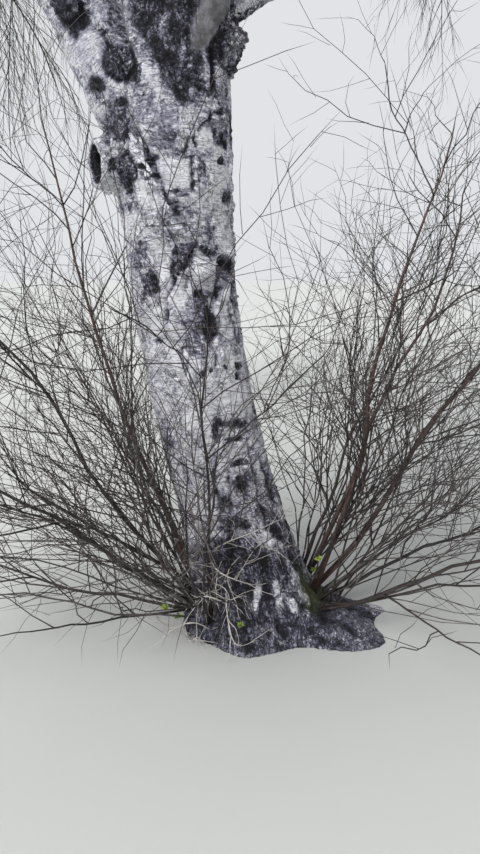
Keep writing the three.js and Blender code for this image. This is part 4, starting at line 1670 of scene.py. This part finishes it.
def smoothed(points, cuts):
    """A smooth line through the points, and the share of the way at which each of its own points lies."""
    ends = np.vstack((2 * points[0] - points[1], points, 2 * points[-1] - points[-2]))
    share = (np.arange(cuts) / cuts)[:, None]
    bends = []
    for a, b, c, d in zip(ends, ends[1:], ends[2:], ends[3:]):
        square = (2 * a - 5 * b + 4 * c - d) * share**2 + (3 * b - a - 3 * c + d) * share**3
        bends.append(0.5 * (2 * b + (c - a) * share + square))
    return np.vstack((*bends, points[-1:]))


def drawn(twigs, cuts, straight_root):
    """The twigs as smooth lines, each moved so that it still stands on its smoothed parent."""
    for twig in twigs:
        points = twig["points"]
        steps = np.arange(len(points))
        root = 1 if "parent" not in twig and straight_root else 0
        line = smoothed(points[root:], cuts)
        at = np.linspace(root, len(points) - 1, len(line))
        if root:
            line = np.vstack((points[:1], line))
            at = np.append(0, at)
        if "parent" in twig:
            parent = twig["parent"]
            place = twig["share"] * (len(parent["points"]) - 1)
            line = line + along_line(place, parent["at"], parent["line"]) - points[0]
        twig["line"] = line
        twig["at"] = at
        twig["line_radii"] = np.interp(at, steps, twig["radii"])
    return twigs


def evenly(line, radii, count):
    """A line and its radii at so many places, evenly apart."""
    lengths = lengths_along(line)
    places = np.linspace(0, lengths[-1], count)
    return along_line(places, lengths, line), np.interp(places, lengths, radii)


def side_twigs(lines, radii, rule, chances):
    """Many finer twigs along lines that have as many points each: their points, radii and parents."""
    lengths = np.linalg.norm(np.diff(lines, axis=1), axis=2).sum(axis=1)
    count = np.maximum(1, np.round(lengths / rule["spacing"]).astype(int))
    parent = np.repeat(np.arange(len(lines)), count)
    rank = np.concatenate([np.arange(n) for n in count])
    share = rule["low"] + (rule["high"] - rule["low"]) * (rank + chances.random(len(rank))) / count[parent]
    place = share * (lines.shape[1] - 1)
    i = np.minimum(place.astype(int), lines.shape[1] - 2)
    part = (place - i)[:, None]
    before, after = lines[parent, i], lines[parent, i + 1]
    turn = 61.0 * parent + golden_angle * rank + turn_spread * chances.random(len(rank))
    way = turned_away(unit(after - before), rule["angle"], turn)
    chance = 0.7 + 0.6 * chances.random(len(rank))
    length = rule["length"] * (length_at_foot - length_loss * share) * chance
    steps = rule["steps"]
    points = [before + (after - before) * part]
    for _ in range(steps):
        way = way - up * rule["bend"] / steps
        way[:, :2] += (chances.random((len(way), 2)) - 0.5) * 2 * rule["wander"]
        way = unit(way)
        points.append(points[-1] + way * (length / steps)[:, None])
    own = radii[parent, i] + (radii[parent, i + 1] - radii[parent, i]) * part[:, 0]
    thick = np.minimum(rule["thick"], twig_thickness * own)
    thinner = np.minimum(rule["thin"], thick) - thick
    thickness = thick[:, None] + thinner[:, None] * np.linspace(0, 1, steps + 1)
    return np.stack(points, axis=1), thickness, parent


def twig_mesh(name, groups, materials):
    """One mesh of many closed, pointed, three-sided twigs. A group holds points, radii and a material slot
    for each of its twigs."""
    corners = []
    faces = []
    sizes = []
    slots = []
    first = 0
    for points, radii, slot in groups:
        many, count, _ = points.shape
        rings = count - 1
        ahead = np.concatenate((points[:, 1:2] - points[:, :1], points[:, 2:] - points[:, :-2]), axis=1)
        ahead = unit(ahead)
        other = np.where(abs(ahead[:, :1, 2:]) > 0.8, level(0), up)
        across = unit(np.cross(ahead, other))
        beside = np.cross(ahead, across)
        turns = [2 * math.pi * k / 3 for k in range(3)]
        round_it = np.stack([across * math.cos(turn) + beside * math.sin(turn) for turn in turns], axis=2)
        round_it = round_it * radii[:, :-1, None, None]
        ring_corners = (points[:, :-1, None] + round_it).reshape(many, rings * 3, 3)
        corners.append(np.concatenate((ring_corners, points[:, -1:]), axis=1).reshape(-1, 3))
        base = first + np.arange(many)[:, None] * (rings * 3 + 1)
        cap = base + np.array([2, 1, 0])
        quads = []
        for ring in range(rings - 1):
            for k in range(3):
                a, b = ring * 3 + k, ring * 3 + (k + 1) % 3
                quads.append(base + np.array([a, b, b + 3, a + 3]))
        last = (rings - 1) * 3
        tips = [base + np.array([last + k, last + (k + 1) % 3, rings * 3]) for k in range(3)]
        for block in [cap, *tips, *quads]:
            faces.append(block.ravel())
            sizes.append(np.full(many, block.shape[1]))
            slots.append(slot)
        first += many * (rings * 3 + 1)
    corners = np.vstack(corners)
    faces = np.concatenate(faces)
    sizes = np.concatenate(sizes)
    mesh = bpy.data.meshes.new(name)
    mesh.vertices.add(len(corners))
    mesh.vertices.foreach_set("co", corners.ravel())
    mesh.loops.add(len(faces))
    mesh.loops.foreach_set("vertex_index", faces.astype(np.int32))
    mesh.polygons.add(len(sizes))
    mesh.polygons.foreach_set("loop_start", np.append(0, np.cumsum(sizes)[:-1]).astype(np.int32))
    mesh.polygons.foreach_set("material_index", np.concatenate(slots).astype(np.int32))
    mesh.polygons.foreach_set("use_smooth", np.ones(len(sizes), bool))
    mesh.update(calc_edges=True)
    for material in materials:
        mesh.materials.append(material)
    return mesh


def finer_twigs(lines, radii, rules, room, slots, chances):
    """The side twigs of some lines and the fine twigs on those, where there is room, as two groups. Their
    slots are dealt out from the first up to the second of two."""
    side_rule, fine_rule = rules
    sides, side_radii, _ = side_twigs(lines, radii, side_rule, chances)
    kept = room(sides)
    sides, side_radii = sides[kept], side_radii[kept]
    side_slots = chances.integers(*slots, len(sides))
    fine, fine_radii, parents = side_twigs(sides, side_radii, fine_rule, chances)
    kept = room(fine)
    return [(sides, side_radii, side_slots), (fine[kept], fine_radii[kept], side_slots[parents[kept]])]


def arrays(rows):
    """An array for each column of some rows."""
    return [np.array(column) for column in zip(*rows)]


crown_spray_rule = dict(
    spacing=0.048, low=0.04, high=0.99, angle=44,
    length=0.78, bend=1.5, wander=0.14, steps=3, thick=0.0034, thin=0.0018,
)
crown_fine_rule = dict(
    spacing=0.1, low=0.12, high=0.97, angle=38,
    length=0.3, bend=0.7, wander=0.14, steps=2, thick=0.002, thin=0.001,
)
crown_rules = (crown_spray_rule, crown_fine_rule)
box_spare = 0.12  # how far a fine twig may reach past the solids' box
line_points = 13
crown_cuts = 3
tested_at_once = 4000

lowest_corner, highest_corner = np.array(cad_box)


def room_in_crown(points):
    """Which fine twigs stay in the crown, in the solids' box, and clear of the limbs."""
    kept = np.ones(len(points), bool)
    for first in range(0, len(points), tested_at_once):
        part = slice(first, first + tested_at_once)
        for place in np.moveaxis(points[part, 1:], 1, 0):
            kept[part] &= inside_crown(place) & clear_of_limbs(place)
            kept[part] &= np.all(place > lowest_corner - box_spare, axis=1)
            kept[part] &= np.all(place < highest_corner + box_spare, axis=1)
    return kept


def crown_groups(names, chances):
    """The twigs of some masses, with their sprays, in groups for one mesh."""
    twigs = [twig for name in names for twig in drawn(masses[name], crown_cuts, True)]
    groups = []
    for count in sorted({len(twig["line"]) for twig in twigs}):
        alike = [(twig["line"], twig["line_radii"], 0) for twig in twigs if len(twig["line"]) == count]
        groups.append(arrays(alike))
    even = [evenly(twig["line"], twig["line_radii"], line_points) for twig in twigs]
    for name in names:
        points, radii = carriers[name]
        outer = len(points) // 2
        line = smoothed(points[outer:], 4)
        even.append(evenly(line, np.linspace(radii[outer], radii[-1], len(line)), line_points))
    any_colour = (0, len(crown_materials))
    return groups + finer_twigs(*arrays(even), crown_rules, room_in_crown, any_colour, chances)


def twig_material(name, dark_shade, light_shade, roughness):
    """Thin bark: two near shades, mottled, with a slight grain."""
    material, tree, shader = new_material(name)
    places = add_node(tree, "ShaderNodeTexCoord").outputs["Object"]
    mottled = noise_of(tree, places, 40, 3, 0.6)
    shades = ramped(tree, mottled, [(0.35, dark_shade), (0.65, light_shade)])
    tree.links.new(shades, shader.inputs["Base Color"])
    tree.links.new(eased(tree, mottled, 0.3, 0.7, roughness, roughness + 0.12), shader.inputs["Roughness"])
    bumped(tree, shader, noise_of(tree, places, 260, 2, 0.6), 0.4, 0.0008)
    return material


crown_materials = [
    twig_material("twig_umber", (38, 30, 29), (58, 48, 46), 0.6),
    twig_material("twig_brown", (52, 40, 37), (76, 62, 57), 0.58),
    twig_material("twig_plum", (46, 34, 37), (66, 52, 55), 0.58),
    twig_material("twig_grey", (66, 58, 56), (92, 84, 80), 0.66),
]
crown_pieces = {
    "left": ["crown_left"] + [f"crown_left_{k}" for k in (1, 2, 3)],
    "centre_low": [f"crown_centre_{k}" for k in (1, 2, 3, 4)],
    "centre_high": ["crown_centre"] + [f"crown_centre_{k}" for k in (5, 6, 7)],
    "right": ["crown_right"] + [f"crown_right_{k}" for k in (1, 2, 3)],
    "front": ["crown_front"] + [f"crown_front_{k}" for k in (1, 2)],
    "back": ["crown_back"] + [f"crown_back_{k}" for k in (1, 2, 3)],
}
crown_chances = 50
for seed, (place, names) in enumerate(crown_pieces.items(), crown_chances):
    groups = crown_groups(names, np.random.default_rng(seed))
    mesh = twig_mesh("crown_twigs_" + place, groups, crown_materials)
    piece = new_piece("crown_twigs_" + place, mesh, *names)

# The young shoots
# A thicket of shoots springs from the root flare all round: long, crooked, whippy stems of a few years,
# red-brown where the sun reaches them, with thinner ones and long, fine side twigs that cross between.
shoot_twigs_seed = 900
shoot_arm_rule = dict(
    spacing=0.44, low=0.16, high=0.9, angle=42,
    length=0.78, bend=-0.1, wander=0.2, steps=2, thick=0.005, thin=0.0025,
)
shoot_strand_rule = dict(
    spacing=0.6, low=0.4, high=0.8, angle=45,
    length=0.34, bend=0, wander=0.2, steps=2, thick=0.003, thin=0.0016,
)
lowest_shoot_twig = 0.025
lowest_seen = 672  # how far down the view shows them, in pixels
grass_from = 0.45  # from the trunk's axis, where twigs begin to keep over the grass
grass_rise = 0.3  # and how much higher for each metre further out
shoot_cuts = 4


def clear_of_trunk(places):
    """Which places of the shoots' twigs are outside the trunk, and not too low over the ground."""
    off, azimuth = from_axis(places)
    clear = off > trunk_radius(places[:, 2], azimuth) + twig_clearance
    return clear & (places[:, 2] > lowest_shoot_twig)


def room_by_trunk(points):
    """Which of the shoots' finer twigs keep clear of the trunk, and over the grass further out."""
    kept = np.ones(len(points), bool)
    for place in np.moveaxis(points[:, 1:], 1, 0):
        over_grass = place[:, 2] > grass_rise * (from_axis(place)[0] - grass_from)
        kept &= clear_of_trunk(place) & over_grass & (seen_at(place)[1] < lowest_seen)
    return kept


shoot_masses = []
for i, stem in enumerate(shoot_stems):
    stem["seed"] = shoot_twigs_seed + i
    stem["turn"] = turn_per_shoot * i
    room = room_of(len(crown_stems) + i, clear_of_trunk)
    shoot_masses.append(drawn(grown_mass(stem, shoot_arm_rule, shoot_strand_rule, room), shoot_cuts, False))

# Thinner shoots beside each: how many, how far they stray in degrees, and their length and thickness
companions = 4
companion_seed = 3000
stray = 34
companion_length = (0.5, 1.05)
companion_thick = (0.003, 0.008)
companion_taper = 0.75
companion_spread = 16  # degrees round the trunk
companion_root = 0.02  # inside its surface
companion_lowest = 0.03
companion_cuts = 3
companion_line_points = 13
companion_rule = dict(steps=7, bend=-0.15, wander=0.15)
shoot_side_rule = dict(
    spacing=0.13, low=0.12, high=0.97, angle=40,
    length=0.8, bend=-0.2, wander=0.3, steps=6, thick=0.0032, thin=0.0011,
)
shoot_fine_rule = dict(
    spacing=0.125, low=0.15, high=0.97, angle=44,
    length=0.26, bend=0.1, wander=0.26, steps=3, thick=0.0016, thin=0.0007,
)
shoot_rules = (shoot_side_rule, shoot_fine_rule)
shoot_line_points = 15
stout_shoot = 0.0125  # the least thickness of the shoots that are red-brown
dull_colours = (1, 4)  # of the materials, all but the red-brown

# How the shoots are crooked: how far they go aside, and how often in a metre
crooks = [(0.05, 2.3), (0.016, 7.5), (0.004, 24.0)]


def crooked(points):
    """The points moved a little aside, so that lines through them bend and kink, less near the trunk."""
    flat = points.reshape(-1, 3)
    free = ease(0.25, 0.6, from_axis(flat)[0])
    aside = np.zeros(flat.shape)
    for far, often in crooks:
        aside += far * np.stack([grainy(flat + shift, often) for shift in (0, 7, 19)], 1)
    aside[:, 2] *= np.clip(flat[:, 2] / 0.15, 0, 1)
    return (flat + aside * free[:, None]).reshape(points.shape)


def above_ground(places):
    return places[:, 2].min() > companion_lowest


def companion_shoots(place, random):
    """Thinner shoots that spring up beside a shoot."""
    azimuth, height, towards, lean, length, _ = place
    grown = []
    for _ in range(companions):
        beside = azimuth + companion_spread * (random() - 0.5)
        start = on_trunk(beside, height * (0.5 + random()), companion_root)
        heading = leaning(lean + stray * (random() - 0.5), towards + 1.6 * stray * (random() - 0.5))
        own = length * between(companion_length, random)
        thick = between(companion_thick, random)
        points = grow_twig(start, heading, companion_rule, own, random, above_ground)
        if len(points) > 3:
            line = smoothed(points, companion_cuts)
            radii = stem_radii(line, thick, companion_taper)
            grown.append(evenly(line, radii, companion_line_points))
    return grown


def shoot_groups(numbers, chances):
    """The twigs of some shoots and of the thinner ones beside them, in groups for one mesh."""
    rows = []
    for i in numbers:
        slot = 1 + int(chances.integers(0, 3)) % 2
        for twig in shoot_masses[i]:
            stout = "parent" not in twig and shoots[i][5] > stout_shoot
            even = evenly(twig["line"], twig["line_radii"], shoot_line_points)
            rows.append((*even, 0 if stout else slot))
        for line, radii in companion_shoots(shoots[i], seeded(companion_seed + i)):
            even = evenly(line, radii, shoot_line_points)
            rows.append((*even, int(chances.integers(*dull_colours))))
    lines, radii, slots = arrays(rows)
    finer = finer_twigs(lines, radii, shoot_rules, room_by_trunk, dull_colours, chances)
    groups = [(lines, radii, slots)] + finer
    return [(crooked(points), thickness, hands) for points, thickness, hands in groups]


shoot_materials = [
    twig_material("shoot_red", (50, 38, 37), (88, 64, 58), 0.5),
    twig_material("shoot_brown", (42, 36, 35), (68, 59, 55), 0.56),
    twig_material("shoot_umber", (34, 30, 31), (54, 48, 48), 0.6),
    twig_material("shoot_grey", (74, 69, 68), (110, 105, 102), 0.66),
]
shoot_chances = 80
for place, numbers in {"right": range(0, 6), "left": range(6, 13)}.items():
    groups = shoot_groups(numbers, np.random.default_rng(shoot_chances + numbers[0]))
    mesh = twig_mesh("shoots_" + place, groups, shoot_materials)
    piece = new_piece("shoots_" + place, mesh, *[f"shoot_{i + 1}" for i in numbers])

# The dead twigs and the first leaves
# Pale dead twigs hang in a tangle in front of the foot, each still caught on the bark at an end. A few
# tufts of small new leaves open low down among the shoots.
dead_twigs = [  # pixels along each, how far in front of the bark its middle hangs, and its thickness
    ([(209, 552), (215, 568), (233, 579), (265, 584), (300, 561)], 0.1, 0.0036),
    ([(208, 552), (230, 541), (254, 532), (279, 520), (300, 511), (325, 500)], 0.12, 0.003),
    ([(194, 582), (212, 583), (226, 590), (229, 606), (220, 641)], 0.1, 0.0032),
    ([(226, 592), (228, 620), (236, 645), (255, 641), (272, 632)], 0.09, 0.0028),
    ([(185, 628), (190, 641), (198, 637), (204, 644), (217, 641)], 0.07, 0.004),
    ([(200, 600), (212, 592), (228, 600), (246, 596), (262, 610)], 0.08, 0.0024),
    ([(190, 566), (204, 575), (210, 595), (206, 618), (214, 636)], 0.08, 0.0026),
    ([(222, 560), (214, 580), (204, 600), (199, 622)], 0.09, 0.0022),
    ([(240, 556), (228, 572), (232, 592), (250, 604), (258, 626)], 0.07, 0.0022),
    ([(203, 556), (196, 535), (200, 515), (214, 500)], 0.08, 0.0022),
    ([(248, 533), (262, 546), (282, 548), (306, 540)], 0.08, 0.002),
    ([(236, 580), (244, 566), (258, 556), (262, 540)], 0.08, 0.002),
    ([(228, 604), (205, 596), (182, 600), (158, 590), (130, 594)], 0.16, 0.003),
    ([(206, 560), (184, 566), (166, 582), (150, 584), (124, 572)], 0.14, 0.0026),
    ([(212, 630), (192, 622), (170, 628), (150, 618), (128, 622)], 0.16, 0.0028),
    ([(204, 610), (186, 590), (172, 572), (150, 560), (132, 540)], 0.14, 0.0026),
    ([(216, 588), (196, 606), (180, 630), (172, 648)], 0.12, 0.0024),
    ([(198, 574), (186, 552), (178, 530), (184, 506)], 0.1, 0.0022),
]
dead_cuts = 5
dead_line_points = 21
dead_tip = 0.4  # of its thickness
dead_side_rule = dict(
    spacing=0.07, low=0.1, high=0.95, angle=42,
    length=0.16, bend=0.1, wander=0.4, steps=5, thick=0.0018, thin=0.0009,
)
dead_lines = []
for pixels, hang, thick in dead_twigs:
    places = []
    for k, (at_right, at_down) in enumerate(pixels):
        back = skin[bark_behind(at_right, at_down), 1]
        share = k / (len(pixels) - 1)
        back = back + 0.004 - hang * math.sin(math.pi * min(1.3 * share, 1))
        places.append(behind_pixel(at_right, at_down, back))
    line = smoothed(np.array(places), dead_cuts)
    line[:, 2] = np.maximum(line[:, 2], 0.01)
    dead_lines.append(evenly(line, np.linspace(thick, dead_tip * thick, len(line)), dead_line_points))
points, radii = arrays(dead_lines)
sides, side_radii, _ = side_twigs(points, radii, dead_side_rule, np.random.default_rng(9))
sides[..., 2] = np.maximum(sides[..., 2], 0.008)
dead_groups = [(points, radii, np.zeros(len(points), int)), (sides, side_radii, np.zeros(len(sides), int))]
dead_wood = twig_material("dead_wood", (168, 163, 156), (222, 217, 210), 0.8)
dead_mesh = twig_mesh("dead_twigs", dead_groups, [dead_wood])
dead_piece = new_piece("dead_twigs", dead_mesh)

tufts = [(240, 627, 0.05), (166, 609, 0.3), (312, 570, 0.04), (318, 560, 0.08), (178, 618, 0.2)]
tuft_leaves = 9
leaf_length = (0.012, 0.026)
leaf_width = 0.55  # of its length


def leaf(root, way, length, turn):
    """A small pointed leaf, folded along its middle."""
    shape = bmesh.new()
    bmesh.ops.create_grid(shape, x_segments=4, y_segments=2, size=0.5)
    across = turned(unit(np.cross(way, level(40))), way, turn)
    facing_up = np.cross(way, across)
    for point in shape.verts:
        share = point.co.x + 0.5
        half = point.co.y * leaf_width * length * math.sin(math.pi * (0.03 + 0.94 * share)) ** 0.7
        fold = abs(half) * 0.5 - 0.25 * length * share * share
        point.co = root + way * share * length + across * half + facing_up * fold
    bmesh.ops.solidify(shape, geom=shape.faces[:], thickness=0.0003)
    return shape


leaf_shapes = []
random = seeded(77)
for at_right, at_down, proud in tufts:
    back = skin[bark_behind(at_right, at_down), 1] - proud
    root = behind_pixel(at_right, at_down, back)
    root[2] = max(root[2], 0.012)
    for _ in range(tuft_leaves):
        way = leaning(15 + 60 * random(), 360 * random())
        length = between(leaf_length, random)
        spot = root + level(360 * random()) * 0.008 * random()
        leaf_shapes.append(leaf(spot, way, length, 360 * random()))
leaf_mesh = joined(leaf_shapes, "leaves")
leaf_mesh.materials.append(twig_material("new_leaves", (104, 128, 44), (152, 170, 74), 0.55))
leaf_piece = new_piece("new_leaves", leaf_mesh)

# The floor and the light
# Plain level ground, a pale overcast sky and a soft sun from the front left stand in for the garden. They
# are the stage and no part of the tree.
floor_mesh = bpy.data.meshes.new("floor")
flat = bmesh.new()
bmesh.ops.create_grid(flat, x_segments=1, y_segments=1, size=60)
flat.to_mesh(floor_mesh)
flat.free()
floor = new_object("floor", floor_mesh)
floor_material, tree, shader = new_material("floor")
shader.inputs["Base Color"].default_value = colour(186, 187, 184)
shader.inputs["Roughness"].default_value = 0.9
floor_mesh.materials.append(floor_material)

world = bpy.data.worlds.new("studio")
bpy.context.scene.world = world
world.use_nodes = True
sky = world.node_tree.nodes["Background"]
sky.inputs["Color"].default_value = colour(242, 244, 248)
sky.inputs["Strength"].default_value = 0.85
sun_data = bpy.data.lights.new("sun", "SUN")
sun_data.energy = 3.7
sun_data.angle = math.radians(24)
sun = new_object("sun", sun_data)
sun.rotation_euler = (math.radians(36), math.radians(-34), 0)
